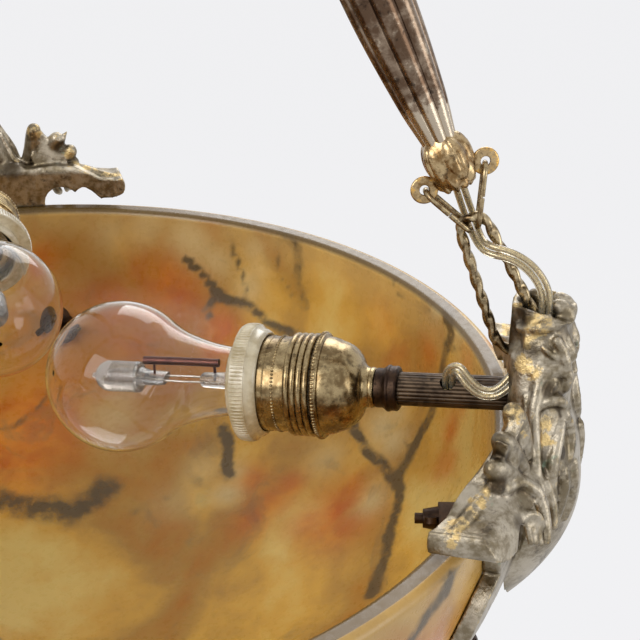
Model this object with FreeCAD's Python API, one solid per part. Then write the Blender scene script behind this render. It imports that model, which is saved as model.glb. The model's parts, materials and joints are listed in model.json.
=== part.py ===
"""Alabaster bowl pendant with three lamps.

Frame: Z is up and is the bowl's axis; the origin is the centre of the ceiling plate's top face, so the
whole pendant hangs below it.  The three brackets stand on the bowl's rim at 120 degrees.  Whatever
repeats three times is drawn once in a side frame (X outwards from the bowl's axis, Y along the rim,
Z measured from the rim's top face) and then turned and lowered into place.  Millimetres.
"""
import FreeCAD
import Part
import math
import os

V = FreeCAD.Vector
AXIS = V(0, 0, 1)

# ---- driving dimensions -------------------------------------------------------------------------
DROP = 560.0                     # ceiling to rim
SIDES = {"a": -30.0, "b": 90.0, "c": 210.0}     # direction of each bracket in degrees

RIM_R = 208.4                    # outer radius of the bowl's rim
BOWL_WALL = 11.0
BOWL_DEPTH = 145.0
BOWL_SHOULDER = 120.0            # radius of the round shoulder under the rim
RIM_ROUND = 3.5

ARM_RISE = 27.2                  # lamp arm's axis above the rim, at the rim's outer radius
ARM_DROOP = 4.7                  # degrees, down towards the centre
ARM_R = 6.35                     # half-inch reeded tube
ARM_BORE = 4.2
ARM_REEDS = 18
ARM_START = 5.0                  # stations along the arm, counted inwards from the rim's radius
ARM_END = 55.0
NIPPLE_R = 5.0
NIPPLE_LENGTH = 12.0
WIRE_HOLE_AT = 27.3
WIRE_HOLE_R = 3.1
WIRE_HOLE_TILT = 30.0            # degrees from the top of the tube

BULB_CENTRE = 158.3
BULB_R = 30.0
GLASS_WALL = 0.9
LAMP_SCREW_R = 13.1              # E27 cap

CLAMP_TURN = 12.0                # clamp screws, degrees to each side of a bracket
CLAMP_DEPTH = 58.0               # below the rim
CLAMP_R = 2.4
CLAMP_PACKING = 5.0              # from the bowl's inner wall to the flat of the packing washer

ROD_FOOT = (181.4, 106.3)        # lower end of a hanging rod's axis: radius and height
ROD_TILT = 25.3                  # degrees from upright
ROD_LENGTH = 327.5
ROD_BORE = 3.7
LUG_TURN = 22.0                  # degrees that the lugs are turned round the rod
LUG_OFFSET = 11.7
LUG_UP = 4.6
WIRE_R = 1.0                     # wire links
LINK_PITCH = 8.5                 # between a wire link's two long wires
BAR_WIDE, BAR_THICK = 4.3, 3.0   # twisted bar of the large links
EAR_CONTACT = 36.0               # radius where the rods' lines meet the crown's ears
EAR_R, EAR_WIRE = 6.0, 1.9

LOOP_WIRE = 2.2
SWIVEL_WIRE = 2.5
CROWN_EYE_Z = 462.0              # heights above the rim, on the axis
SWIVEL_LOW, SWIVEL_HIGH = 466.0, 494.0
LOOP_Z = 498.0
CUP_R = 57.0
CUP_FOOT = 512.0
PLATE_R = 50.0
PLATE_THICK = 3.0
PLATE_HOLE_PITCH = 76.0
PLATE_HOLE_R = 2.6
GAP = 0.3                        # between round faces that would otherwise touch

TILT = math.radians(ROD_TILT)
ROD_AXIS = V(-math.sin(TILT), 0, math.cos(TILT))
ROD_SIDE = V(math.cos(TILT), 0, math.sin(TILT))


# ---- drawing helpers ----------------------------------------------------------------------------
def path_edges(points, place=lambda a, b: V(a, 0, b)):
    """Edges through points (a, b); a pair of points ((a, b), (c, d)) is an arc through the first."""
    edges, here = [], place(*points[0])
    for step in points[1:]:
        if isinstance(step[0], tuple):
            middle, there = place(*step[0]), place(*step[1])
            edges.append(Part.Arc(here, middle, there).toShape())
        else:
            there = place(*step)
            edges.append(Part.makeLine(here, there))
        here = there
    return edges


def closed_face(points, place=lambda a, b: V(a, 0, b)):
    edges = path_edges(list(points) + [points[0]], place)
    return Part.Face(Part.Wire(edges))


def turned(*points):
    """Solid of revolution about Z from a closed outline of (radius, height) points."""
    return closed_face(points).revolve(V(0, 0, 0), AXIS, 360)


def tube_ring(radius, wire, centre, normal):
    return Part.makeTorus(radius, wire, centre, normal)


def round_wire(points, radius, bend, closed=False):
    """Round wire along straight runs joined by tangent arcs; bend is one radius or one per corner."""
    count = len(points)
    corners = range(count) if closed else range(1, count - 1)
    bends = bend if isinstance(bend, list) else [bend] * count
    cuts = {}
    for i in corners:
        before = (points[i - 1] - points[i]).normalize()
        after = (points[(i + 1) % count] - points[i]).normalize()
        half = before.getAngle(after) / 2
        reach = bends[i] / math.tan(half)
        inwards = (before + after).normalize()
        middle = points[i] + inwards * (bends[i] / math.sin(half) - bends[i])
        cuts[i] = (points[i] + before * reach, middle, points[i] + after * reach)
    edges, here = [], points[0]
    for i in corners:
        start, middle, end = cuts[i]
        if here.distanceToPoint(start) > 0.001:
            edges.append(Part.makeLine(here, start))
        edges.append(Part.Arc(start, middle, end).toShape())
        here = end
    edges.append(Part.makeLine(here, points[-1]))
    spine = Part.Wire(edges)
    along = (points[1] - points[0]).normalize()
    section = Part.Wire(Part.makeCircle(radius, points[0], along))
    return spine.makePipeShell([section], True, False)


def scalloped(radius, lobes, bulge, height, turn=0.0):
    """Closed wire of outward arcs, as a reeded or lobed section at a height."""
    edges = []
    for i in range(lobes):
        angles = [2 * math.pi * (i + step) / lobes + turn for step in (0, 0.5, 1)]
        radii = (radius, radius + bulge, radius)
        ends = [V(r * math.cos(a), r * math.sin(a), height) for r, a in zip(radii, angles)]
        edges.append(Part.Arc(*ends).toShape())
    return Part.Wire(edges)


def on_arm(shape):
    """Carry a shape drawn on Z to the lamp arm's axis, Z pointing to the bowl's centre."""
    placed = shape.copy()
    turn = FreeCAD.Rotation(V(0, 1, 0), -(90 + ARM_DROOP))
    placed.Placement = FreeCAD.Placement(V(RIM_R, 0, ARM_RISE), turn).multiply(shape.Placement)
    return placed


def on_rod(shape):
    """Carry a shape drawn on Z to the hanging rod's axis, Z pointing up it."""
    placed = shape.copy()
    turn = FreeCAD.Rotation(V(0, 1, 0), -ROD_TILT)
    placed.Placement = FreeCAD.Placement(V(ROD_FOOT[0], 0, ROD_FOOT[1]), turn).multiply(shape.Placement)
    return placed


def at_side(shape, angle):
    placed = shape.copy()
    placed.rotate(V(0, 0, 0), AXIS, angle)
    placed.translate(V(0, 0, -DROP))
    return placed


def lowered(shape):
    return at_side(shape, 0)


# ---- bowl ---------------------------------------------------------------------------------------
def bowl_arcs(grow=0.0):
    """Points of the bowl's outer half profile from the rim to the pole, grown by a distance."""
    shoulder_at = RIM_R - BOWL_SHOULDER
    drop = BOWL_DEPTH - RIM_ROUND
    rise = (drop - BOWL_SHOULDER) ** 2 - shoulder_at ** 2
    centre_z = rise / (2 * (BOWL_SHOULDER - drop))
    base_r = centre_z + drop
    reach = math.atan2(centre_z, shoulder_at)
    small, large = BOWL_SHOULDER + grow, base_r + grow
    polar = lambda x, z, r, a: (x + r * math.cos(a), z + r * math.sin(a) - RIM_ROUND)
    rim = polar(shoulder_at, 0, small, 0)
    shoulder = polar(shoulder_at, 0, small, -reach / 2)
    join = polar(shoulder_at, 0, small, -reach)
    belly = polar(0, centre_z, large, (-reach - math.pi / 2) / 2)
    pole = (0.0, centre_z - large - RIM_ROUND)
    return rim, shoulder, join, belly, pole


def bowl_solid(grow=0.0):
    rim, shoulder, join, belly, pole = bowl_arcs(grow)
    return turned(rim, (shoulder, join), (belly, pole), (0.0, rim[1]))


def clamp_places():
    for turn in (-CLAMP_TURN, CLAMP_TURN):
        yield turn


def clamp_part(shape, turn):
    """Carry a part drawn on X at the origin to a clamp screw's level."""
    placed = shape.copy()
    placed.translate(V(0, 0, -CLAMP_DEPTH))
    placed.rotate(V(0, 0, 0), AXIS, turn)
    return placed


def wall_radius(grow):
    """Radius of the bowl's wall at the clamp screws, for its outer face grown by a distance."""
    deep = CLAMP_DEPTH - RIM_ROUND
    return RIM_R - BOWL_SHOULDER + math.sqrt((BOWL_SHOULDER + grow) ** 2 - deep ** 2)


def bowl():
    rim, shoulder, join, belly, pole = bowl_arcs()
    inner = bowl_arcs(-BOWL_WALL)
    corner = RIM_ROUND * (1 - math.sqrt(0.5))
    outside = (rim, (shoulder, join), (belly, pole))
    inside = (inner[4], (inner[3], inner[2]), (inner[1], inner[0]))
    lip_in = ((inner[0][0] + corner, -corner), (inner[0][0] + RIM_ROUND, 0.0))
    lip_out = ((rim[0] - corner, -corner), rim)
    edges = path_edges(list(outside) + list(inside) + [lip_in, (rim[0] - RIM_ROUND, 0.0), lip_out])
    body = Part.Face(Part.Wire(edges)).revolve(V(0, 0, 0), AXIS, 360)
    drill = Part.makeCylinder(CLAMP_R + GAP, 60, V(RIM_R - 50, 0, 0), V(1, 0, 0))
    for side in SIDES.values():
        for turn in clamp_places():
            body = body.cut(clamp_part(drill, side + turn))
    return body


# ---- bracket ------------------------------------------------------------------------------------
ARM_OUTLINE = [(0, 24), (27, 23.5), (31, 21), (45, 22.5), (55.5, 22), (63.5, 18), (68, 15.8), (75, 15.3),
               (79, 16.3), ((80.4, 12.5), (78.5, 7)), (75, 5.2), (67.5, 4.2), (63.5, 8.2), (59.5, 10.7),
               (57, 9.8), (54.7, 7.5), (52.5, 9.3), ((46.5, 10.6), (39, 0)), (0, 0)]
CREST_OUTLINE = [(-8.8, 0), (-10.9, 5.6), (-7.2, 9.6), (-5.8, 20), (0.4, 12.2), (9.3, 18), (6.9, 9.3),
                 (11.1, 6.4), (8.2, 2), (8.2, 0)]
CREST_AT = 44.4
APRON_OUTLINE = [(0, 2), (40, 2), ((49, -8), (45, -22)), ((57, -38), (50, -56)), ((46, -71), (33, -67)),
                 (30, -60), ((24, -82), (0, -92))]


# Foliage of the near half in a side's own frame: radius, along the rim, height; the far half mirrors it.
FINGERS = [((210.4, -36.4, 29.0), 3.9, (208.2, -37.0, 40.2), 3.6), ((208.8, -45.0, 26.0), 3.9, (206.0, -48.2, 35.0), 3.6),
           ((207.6, -53.0, 20.5), 3.3, (204.2, -55.2, 27.8), 3.1)]
ROLLED_EDGE = [(223.6, -12.0, 38.0), (225.2, -12.0, 44.4), (220.0, -13.8, 47.2), (215.0, -17.4, 43.6),
               (214.3, -22.8, 34.0), (216.2, -28.0, 21.0), (217.8, -33.0, 12.6)]
SHELL_EDGE = [(208.3, -55.0, 20.2), (213.4, -46.4, 19.2), (219.4, -42.8, 13.2), (222.0, -45.0, 5.6), (223.4, -48.6, -1.4)]
LEAF_TIPS = [((219.4, -8.8, 67.6), 3.1, (222.8, -5.2, 62.6), 2.2), ((221.8, -6.6, 55.4), 2.7, (224.6, -6.0, 48.8), 2.6)]


def mirrored(outline):
    """Close a right half outline with its own mirror image."""
    left = []
    points = [p[1] if isinstance(p[0], tuple) else p for p in outline]
    for i in range(len(outline) - 1, 0, -1):
        step, there = outline[i], points[i - 1]
        flip = (-there[0], there[1])
        if isinstance(step[0], tuple):
            left.append(((-step[0][0], step[0][1]), flip))
        else:
            left.append(flip)
    return outline + left[:-1]


def along_rim(outline, inner, outer):
    """Outline in the (Y, Z) plane, drawn through from an inner to an outer X."""
    face = closed_face(outline, lambda a, b: V(inner, a, b))
    return face.extrude(V(outer - inner, 0, 0))


def stem():
    """Upright body of the bracket, lofted through oval sections (height, inner X, outer X, half width)."""
    levels = [(0, 200, 231, 31), (12, 202.5, 229, 29), (22, 203.3, 226.5, 26.5), (30, 203.3, 225, 22.5),
              (45, 202.3, 224.5, 17.5), (57, 202.3, 223.5, 13), (66, 202.3, 222, 10.5)]
    wires = []
    for height, inner, outer, half in levels:
        ring = Part.BSplineCurve()
        middle, depth = (inner + outer) / 2, (outer - inner) / 2
        points = []
        for i in range(12):
            a = 2 * math.pi * i / 12
            fat = 1.0 + 0.10 * math.sin(2 * a) ** 2
            points.append(V(middle + depth * math.cos(a) * fat, half * math.sin(a) * fat, height))
        ring.interpolate(points, PeriodicFlag=True)
        wires.append(Part.Wire(ring.toShape()))
    return Part.makeLoft(wires, True, False)


def front_leaf():
    """Acanthus leaf that hangs from the rim outside the bowl and curls out at its tip."""
    levels = [(24, 208, 222.5, 20), (14.5, 206, 227, 24), (-6.6, 204, 232.2, 27), (-31.5, 198, 227, 25),
              (-52, 188, 214.5, 20), (-68, 180, 203, 14), (-82, 176, 199, 9), (-92, 178, 197, 4.5)]
    wires = []
    for height, inner, outer, half in levels:
        flank = inner + (outer - inner) * 0.45
        points = [(inner, -half * 0.7), (flank, -half), ((outer, 0), (flank, half)), (inner, half * 0.7)]
        edges = path_edges(points + [points[0]], lambda a, b, h=height: V(a, b, h))
        wires.append(Part.Wire(edges))
    return Part.makeLoft(wires, True, False)


def crest(side):
    """Five-pointed palmette on a lateral arm, leaning out a little."""
    plate = along_rim(CREST_OUTLINE, -2.4, 2.4)
    plate = plate.mirror(V(0, 0, 0), V(0, 1, 0)) if side < 0 else plate
    plate.rotate(V(0, 0, 0), V(0, 1, 0), 14)
    plate.translate(V(RIM_R + 1.0, 0, 21))
    plate.rotate(V(0, 0, 0), AXIS, side * math.degrees(CREST_AT / RIM_R))
    return plate


def scroll(centre, radius, half, z_turn=0):
    """Rolled edge of a leaf: a short fat cylinder along the rim."""
    return Part.makeCylinder(radius, 2 * half, V(centre[0], -half, centre[1]), V(0, 1, 0))


def tapered(foot, foot_r, tip, tip_r):
    """Rounded finger: two balls and the cone between them."""
    foot, tip = V(*foot), V(*tip)
    run = tip - foot
    if abs(foot_r - tip_r) < 0.01:
        stem_of_it = Part.makeCylinder(foot_r, run.Length, foot, run)
    else:
        stem_of_it = Part.makeCone(foot_r, tip_r, run.Length, foot, run)
    return stem_of_it.fuse([Part.makeSphere(foot_r, foot), Part.makeSphere(tip_r, tip)])


def both_sides(shape):
    return [shape, shape.mirror(V(0, 0, 0), V(0, 1, 0))]


def right_strand():
    """Ends of the link's outer straight side, which passes over the strap."""
    line = LINK_TOP - LINK_LOW
    turn = math.atan2(line.z, line.x) - math.acos((LINK_LOW_R - LINK_TOP_R) / line.Length)
    aside = V(math.cos(turn), 0, math.sin(turn))
    return LINK_TOP + aside * LINK_TOP_R, LINK_LOW + aside * LINK_LOW_R


def bracket():
    cornice = turned((203, 0), (203, 18), ((204.6, 22), (208, 24)), (216, 19), ((223, 12), (226, 5)), (222, 0))
    arms = cornice.common(along_rim(mirrored(ARM_OUTLINE), 150, 240))
    skin = bowl_solid(6.5).cut(bowl_solid(GAP))
    below = along_rim(mirrored(APRON_OUTLINE), 150, 240)
    apron = skin.common(below)
    body = arms.fuse([stem(), front_leaf().cut(bowl_solid(GAP)), apron])
    body = body.fuse([crest(side) for side in (-1, 1)])
    tip = Part.makeSphere(6.0, V(219.5, 0, 63.5))
    body = body.fuse([tip, scroll((219.5, 47.5), 5.2, 12), scroll((221.5, 30), 4.2, 17)])
    fingers = [shape for finger in FINGERS for shape in both_sides(tapered(*finger))]
    edges = [shape for line, radius in ((ROLLED_EDGE, 2.2), (SHELL_EDGE, 2.3))
             for shape in both_sides(round_wire([V(*p) for p in line], radius, radius + 0.6))]
    body = body.fuse(fingers).fuse(edges)
    rim_seat = Part.makeCylinder(RIM_R + GAP, 200, V(0, 0, -200))
    over_rim = Part.makeBox(60, 80, 220, V(170, -40, -220)).common(rim_seat)
    body = body.cut([over_rim, bowl_solid(GAP)])
    eye = along_rim([(-6.5, 41), (-6.5, 80), (6.5, 80), (6.5, 41)], 206.3, 218)
    window = along_rim([(-6.5, 41), (-6.5, 48.1), (6.5, 48.1), (6.5, 41)], 195, 210)
    trim = Part.makeBox(60, 60, 30, V(190, -30, 66))
    flex_way = Part.makeCylinder(3.3, 40, V(212.0, -4.2, 49), V(-0.50, -0.28, -0.82))
    socket = on_arm(Part.makeCylinder(NIPPLE_R, NIPPLE_LENGTH + 1, V(0, 0, ARM_START - NIPPLE_LENGTH - 1)))
    body = body.cut([eye, window, trim, socket])
    body = body.fuse([shape for tip in LEAF_TIPS for shape in both_sides(tapered(*tip))]).cut([eye, flex_way])
    body = body.cut(on_arm(Part.makeCylinder(ARM_R + GAP, 40, V(0, 0, ARM_START))))
    drill = Part.makeCylinder(CLAMP_R, 70, V(RIM_R - 50, 0, 0), V(1, 0, 0))
    seat = Part.makeCylinder(6.3, 30, V(wall_radius(6.5) - 0.6, 0, 0), V(1, 0, 0))
    body = body.cut([clamp_part(drill.fuse(seat), turn) for turn in clamp_places()])
    top, low = right_strand()
    body = body.cut(Part.makeCylinder(BAR_WIDE / 2 + 0.8, 60, low, top - low))
    return max(body.Solids, key=lambda solid: solid.Volume)


# ---- clamp hardware -----------------------------------------------------------------------------
def clamp_screw():
    """Round-headed screw through bracket and bowl, drawn along X."""
    outside, inside = wall_radius(6.5), wall_radius(-BOWL_WALL)
    shank = Part.makeCylinder(CLAMP_R - 0.1, outside - inside + 15, V(inside - 15, 0, 0), V(1, 0, 0))
    head = Part.makeSphere(6.2, V(outside - 2.4, 0, 0)).common(
        Part.makeBox(10, 20, 20, V(outside + 0.4, -10, -10)))
    head = head.fuse(Part.makeCylinder(5.6, 1.2, V(outside - 0.6, 0, 0), V(1, 0, 0)))
    slot = Part.makeBox(3, 1.2, 20, V(outside + 2.6, -0.6, -10))
    return shank.fuse(head.cut(slot))


def clamp_washer():
    """Tapered packing washer: its outer face follows the bowl's wall, its inner face is flat."""
    inside = wall_radius(-BOWL_WALL)
    blank = Part.makeCylinder(7, 20, V(inside - CLAMP_PACKING, 0, 0), V(1, 0, 0))
    blank = blank.cut(Part.makeCylinder(CLAMP_R, 60, V(inside - 30, 0, 0), V(1, 0, 0)))
    wall = bowl_solid(-BOWL_WALL - 0.1)
    wall.translate(V(0, 0, CLAMP_DEPTH))
    return blank.common(wall)


def wing_nut():
    inside = wall_radius(-BOWL_WALL) - CLAMP_PACKING
    boss = Part.makeCone(4.0, 5.2, 6.5, V(inside - 6.5, 0, 0), V(1, 0, 0))
    wing = closed_face([(-3.5, 2.5), (-5, 5.5), ((-4.8, 10), (-1.2, 8.8)), (0, 4), (0, 2.5)])
    wing = wing.extrude(V(0, 2.6, 0))
    wing.translate(V(inside, -1.3, 0))
    other = wing.mirror(V(0, 0, 0), V(0, 0, 1))
    nut = boss.fuse([wing, other]).cut(Part.makeCylinder(CLAMP_R, 20, V(inside - 10, 0, 0), V(1, 0, 0)))
    nut.rotate(V(0, 0, 0), V(1, 0, 0), 62)
    return nut


def at_clamps(shape):
    """Six like parts, two for each bracket, as one group of solids."""
    return Part.makeCompound([at_side(clamp_part(shape, turn), angle)
                              for angle in SIDES.values() for turn in clamp_places()])


# ---- lamp arm and lampholder, drawn on Z ----------------------------------------------------------
def arm_tube():
    section = scalloped(ARM_R - 0.45, ARM_REEDS, 0.45, ARM_START)
    tube = Part.Face(section).extrude(V(0, 0, ARM_END - ARM_START))
    tube = tube.fuse(Part.makeCylinder(NIPPLE_R, NIPPLE_LENGTH, V(0, 0, ARM_START - NIPPLE_LENGTH)))
    tube = tube.cut(Part.makeCylinder(ARM_BORE, ARM_END - 10, V(0, 0, 12)))
    tilt = math.radians(WIRE_HOLE_TILT)
    way = V(math.cos(tilt), -math.sin(tilt), 0)
    return tube.cut(Part.makeCylinder(WIRE_HOLE_R, 12, V(0, 0, WIRE_HOLE_AT), way))


def arm_collar():
    inner = ARM_R + 0.05
    return turned((inner, 49.5), (7.6, 49.5), ((8.3, 49.8), (8.5, 50.6)), (8.5, 52.4), (7.4, 55), (inner, 55))


def holder_cap():
    """Bell-shaped cap that carries the lampholder on the arm."""
    return turned((4.2, 55), (6.6, 55), ((7.2, 56.5), (7.4, 59.5)), ((10.5, 60.4), (13.4, 62.2)),
                  ((17.6, 66.8), (19.0, 74)), (20.0, 74.4), ((20.6, 76), (20.0, 77.6)), (18.4, 77.6),
                  ((16.6, 67.6), (12.6, 63.8)), (6.0, 61.6), (4.2, 61.0))


def holder_shell():
    """Threaded outer shell: four round ridges, a plain band and a beaded line at its mouth."""
    first, pitch = 78.0, 2.35
    points = [(17.4, first), (18.6, first)]
    for i in range(4):
        foot = first + pitch * i
        points.append(((19.9, foot + pitch / 2), (18.6, foot + pitch)))
    points += [(18.3, 88.4), (18.3, 95.2), ((18.9, 96.2), (18.3, 97.2)), (18.3, 103.6), (17.4, 103.6)]
    return turned(*points)


def holder_core():
    """Porcelain insert that carries the contacts and the lamp's screw shell."""
    return turned((0, 68), (11.5, 68), (16.6, 76), (17.2, 79), (17.2, 101), (13.9, 101), (13.9, 84), (0, 84))


def holder_contacts():
    centre = Part.makeBox(14, 5, 0.7, V(-7, -2.5, 84.0))
    tongue = Part.makeCylinder(2.2, 0.9, V(0, 0, 84.6))
    screws = [Part.makeCylinder(1.6, 4.4, V(x, 0, 63.6)) for x in (-7.5, 7.5)]
    return Part.makeCompound([centre.fuse(tongue)] + screws)


def shade_ring():
    """Porcelain ring: conical back, milled band and a lip in front."""
    return turned((18.65, 97.6), (19.6, 97.6), (21.4, 100.2), ((22.3, 101), (22.6, 101.6)), (23.0, 102.4),
                  (23.0, 106.2), ((22.7, 107.2), (21.6, 107.6)), (17.2, 107.6), ((16.6, 110), (15.4, 110.4)),
                  (14.9, 110.0), (14.9, 104.0), (18.65, 104.0))


def bulb_profile(wall):
    """Pear-shaped glass, as (start, arcs...) shrunk by a wall thickness."""
    ball = BULB_R - wall
    meet = math.radians(50)
    join = (ball * math.sin(meet), BULB_CENTRE - ball * math.cos(meet))
    neck = 13.0 - wall
    return [(neck, 105.0), ((13.9 - wall, 116), (16.9 - wall, 127.5)), ((19.6 - wall, 134), join),
            ((ball, BULB_CENTRE), (0.0, BULB_CENTRE + ball))]


def bulb_glass():
    outer = turned(*(bulb_profile(0) + [(0.0, 105.0)]))
    inner = turned(*(bulb_profile(GLASS_WALL) + [(0.0, 105.0)]))
    return outer.cut(inner)


def bulb_cap():
    r = LAMP_SCREW_R
    return turned((0, 85.9), (4.4, 85.9), (4.8, 87.6), (9.5, 88.6), (r, 91.5), (r, 104.9), (0, 104.9))


def bulb_capsule():
    """Inner halogen capsule with its pinch, stem and supports."""
    dome = 6.2
    slant = dome * math.sqrt(0.5)
    capsule = turned((0, 150), (dome, 150), (dome, 163), ((slant, 163 + slant), (0, 163 + dome)))
    pinch = Part.makeBox(3.2, 9.0, 12.0, V(-1.6, -4.5, 139))
    stem_rod = turned((0, 105.1), (9.5, 105.1), ((5.4, 108.4), (3.4, 112)), (3.2, 124), (0, 124))
    leads = [Part.makeBox(1.4, 1.4, 18, V(-0.7, y - 0.7, 122.0)) for y in (-2.0, 2.0)]
    shield = Part.makeCylinder(1.6, 31, V(7.6, 0, 117))
    foot = Part.makeBox(8, 1.2, 1.2, V(0, -0.6, 118.5))
    return capsule.fuse([pinch, stem_rod, shield, foot] + leads).removeSplitter()


# ---- hanging rod, drawn on Z from its foot --------------------------------------------------------
def rod_body():
    """Fluted hollow rod: narrow at both buds, swelling to its middle."""
    levels = [(18, 5.3), (34, 7.6), (70, 10.2), (130, 10.7), (240, 8.6), (ROD_LENGTH - 18, 5.3)]
    wires = [scalloped(r, 8, r * 0.16, z) for z, r in levels]
    return Part.makeLoft(wires, True, False).cut(Part.makeCylinder(ROD_BORE, ROD_LENGTH))


def bud():
    """Leafy knop that closes a rod's end, its foot at height 0."""
    lower = Part.makeLoft([scalloped(r, 6, r * 0.16, z, turn=0.3) for z, r in
                           ((0, 4.9), (4, 7.7), (10.5, 8.6), (16, 7.9), (19.5, 6.0))], True, False)
    return lower.cut([Part.makeCylinder(ROD_BORE, 60, V(0, 0, -10)), rod_core_space()])


def rod_core_space():
    """Room for the rod's end inside the bud."""
    return Part.makeLoft([scalloped(r, 8, r * 0.16, z) for z, r in ((18, 5.35), (34, 7.65))], True, False)


def lug(side):
    """Pierced round ear on a bud, standing out to one side."""
    ear = Part.makeCylinder(5.0, 1.3, V(LUG_OFFSET, 0.65, LUG_UP), V(0, -1, 0))
    web = Part.makeBox(6.5, 1.3, 6.0, V(LUG_OFFSET - 8.0, -0.65, LUG_UP - 2.2))
    ear = ear.fuse(web).cut(Part.makeCylinder(1.75, 5, V(LUG_OFFSET, 2, LUG_UP), V(0, -1, 0)))
    ear.rotate(V(0, 0, 0), AXIS, LUG_TURN + (0 if side > 0 else 180))
    return ear


def bud_with_lugs():
    shell = bud()
    bore = Part.makeCylinder(ROD_BORE, 60, V(0, 0, -10))
    return shell.fuse([lug(1), lug(-1)]).cut([bore, rod_core_space()])


def upside_down(shape):
    """Turn a rod part drawn at the foot round to the rod's upper end."""
    placed = shape.copy()
    placed.rotate(V(0, 0, ROD_LENGTH / 2), V(1, 0, 0), 180)
    return placed


def rod_point(along, aside=0.0, rimwise=0.0):
    foot = V(ROD_FOOT[0], 0, ROD_FOOT[1])
    return foot + ROD_AXIS * along + ROD_SIDE * aside + V(0, rimwise, 0)


def lug_centre(side, upper=False):
    turn = math.radians(LUG_TURN if not upper else -LUG_TURN)
    height = LUG_UP if not upper else ROD_LENGTH - LUG_UP
    reach = side * LUG_OFFSET
    return rod_point(height, reach * math.cos(turn), reach * math.sin(turn))


def wire_link(hole, foot, lean_sign):
    """Oblong wire link with an open butt joint, from a lug's hole to its far bend."""
    along = (foot - hole).normalize()
    head = hole + along * 0.6
    half = LINK_PITCH / 2
    across = V(0, 1, 0) - along * along.y
    lean = ROD_SIDE - along * ROD_SIDE.dot(along)
    turn = math.radians(LUG_TURN / 2)
    wide = (across * math.cos(turn) + lean * (math.sin(turn) * lean_sign)).normalize()
    seam = (head + foot) * 0.5 - wide * half
    corners = [head - wide * half, head + wide * half, foot + wide * half, foot - wide * half]
    points = [seam - along * 0.25] + corners + [seam + along * 0.25]
    return round_wire(points, WIRE_R, half * 0.98)


def wire_links(upper):
    """The pair of wire links at one end of a rod; their bends lie side by side inside the ring."""
    centre, reach = (ear_ring_centre(), EAR_R - EAR_WIRE) if upper else (LINK_TOP, LINK_TOP_R - BAR_WIDE / 2)
    links = []
    for side, angle in ((-1, -92.0), (1, -42.0)) if upper else ((-1, 165.0), (1, 68.0)):
        a = math.radians(angle)
        foot = centre + V(math.cos(a), 0, math.sin(a)) * (reach - WIRE_R - 0.5)
        links.append(wire_link(lug_centre(side, upper), foot, 1 if upper else -1))
    return Part.makeCompound(links)


# ---- twisted link ---------------------------------------------------------------------------------
LINK_TOP, LINK_TOP_R = V(187.7, 0, 90.4), 5.4       # centre and radius of the upper bend
LINK_LOW, LINK_LOW_R = V(204.3, 0, 53.6), 8.6       # centre and radius of the lower bend
LINK_STATIONS = 96
LINK_TURNS = 8


def egg_path(count):
    """Points and outward normals spaced evenly round the egg-shaped centre line."""
    line = LINK_TOP - LINK_LOW
    span = line.Length
    lean = math.atan2(line.z, line.x)
    open_angle = math.acos((LINK_LOW_R - LINK_TOP_R) / span)
    low_arc = 2 * (math.pi - open_angle) * LINK_LOW_R
    top_arc = 2 * open_angle * LINK_TOP_R
    side = math.sqrt(span ** 2 - (LINK_LOW_R - LINK_TOP_R) ** 2)
    total = low_arc + top_arc + 2 * side
    result = []
    for i in range(count):
        s = total * i / count
        if s < top_arc:
            a = lean - open_angle + s / LINK_TOP_R
            normal = V(math.cos(a), 0, math.sin(a))
            result.append((LINK_TOP + normal * LINK_TOP_R, normal))
            continue
        s -= top_arc
        left = V(math.cos(lean + open_angle), 0, math.sin(lean + open_angle))
        right = V(math.cos(lean - open_angle), 0, math.sin(lean - open_angle))
        if s < side:
            start = LINK_TOP + left * LINK_TOP_R
            end = LINK_LOW + left * LINK_LOW_R
            result.append((start + (end - start) * (s / side), left))
            continue
        s -= side
        if s < low_arc:
            a = lean + open_angle + s / LINK_LOW_R
            normal = V(math.cos(a), 0, math.sin(a))
            result.append((LINK_LOW + normal * LINK_LOW_R, normal))
            continue
        s -= low_arc
        start = LINK_LOW + right * LINK_LOW_R
        end = LINK_TOP + right * LINK_TOP_R
        result.append((start + (end - start) * (s / side), right))
    return result


def twisted_link():
    """Closed link of a flat bar twisted along its length, ruled between turned sections."""
    rings = []
    for i, (point, normal) in enumerate(egg_path(LINK_STATIONS)):
        a = 2 * math.pi * LINK_TURNS * i / LINK_STATIONS
        wide = normal * math.cos(a) + V(0, math.sin(a), 0)
        thin = normal * -math.sin(a) + V(0, math.cos(a), 0)
        ring = [point + wide * (BAR_WIDE / 2 * p) + thin * (BAR_THICK / 2 * q)
                for p, q in ((1, 1), (-1, 1), (-1, -1), (1, -1))]
        rings.append(ring)
    faces = []
    for i, ring in enumerate(rings):
        after = rings[(i + 1) % len(rings)]
        for j in range(4):
            k = (j + 1) % 4
            for corners in ((ring[j], ring[k], after[k]), (ring[j], after[k], after[j])):
                faces.append(Part.Face(Part.makePolygon(list(corners) + [corners[0]])))
    return Part.Solid(Part.makeShell(faces))


# ---- twin flex ------------------------------------------------------------------------------------
FLEX_R = 1.25
FLEX_ROUTE = [V(179.0, 0.2, 112.0), V(181.6, 1.4, 104.6), V(183.0, 7.2, 96.4), V(185.6, 6.4, 90.0),
              V(189.4, 0.2, 86.2), V(193.2, -5.0, 85.8), V(201.4, -5.0, 84.6), V(208.2, -5.0, 80.8),
              V(213.4, -4.9, 74.0), V(214.9, -4.6, 66.0), V(213.8, -4.4, 57.0), V(210.8, -5.0, 47.4),
              V(206.2, -7.4, 39.6), V(200.8, -9.9, 32.2), V(194.6, -10.6, 31.2), V(189.2, -10.2, 35.0),
              V(185.2, -8.2, 39.4), V(181.8, -5.6, 36.6), V(180.9, -3.2, 31.0), V(181.0, -1.2, 26.8)]


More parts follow.
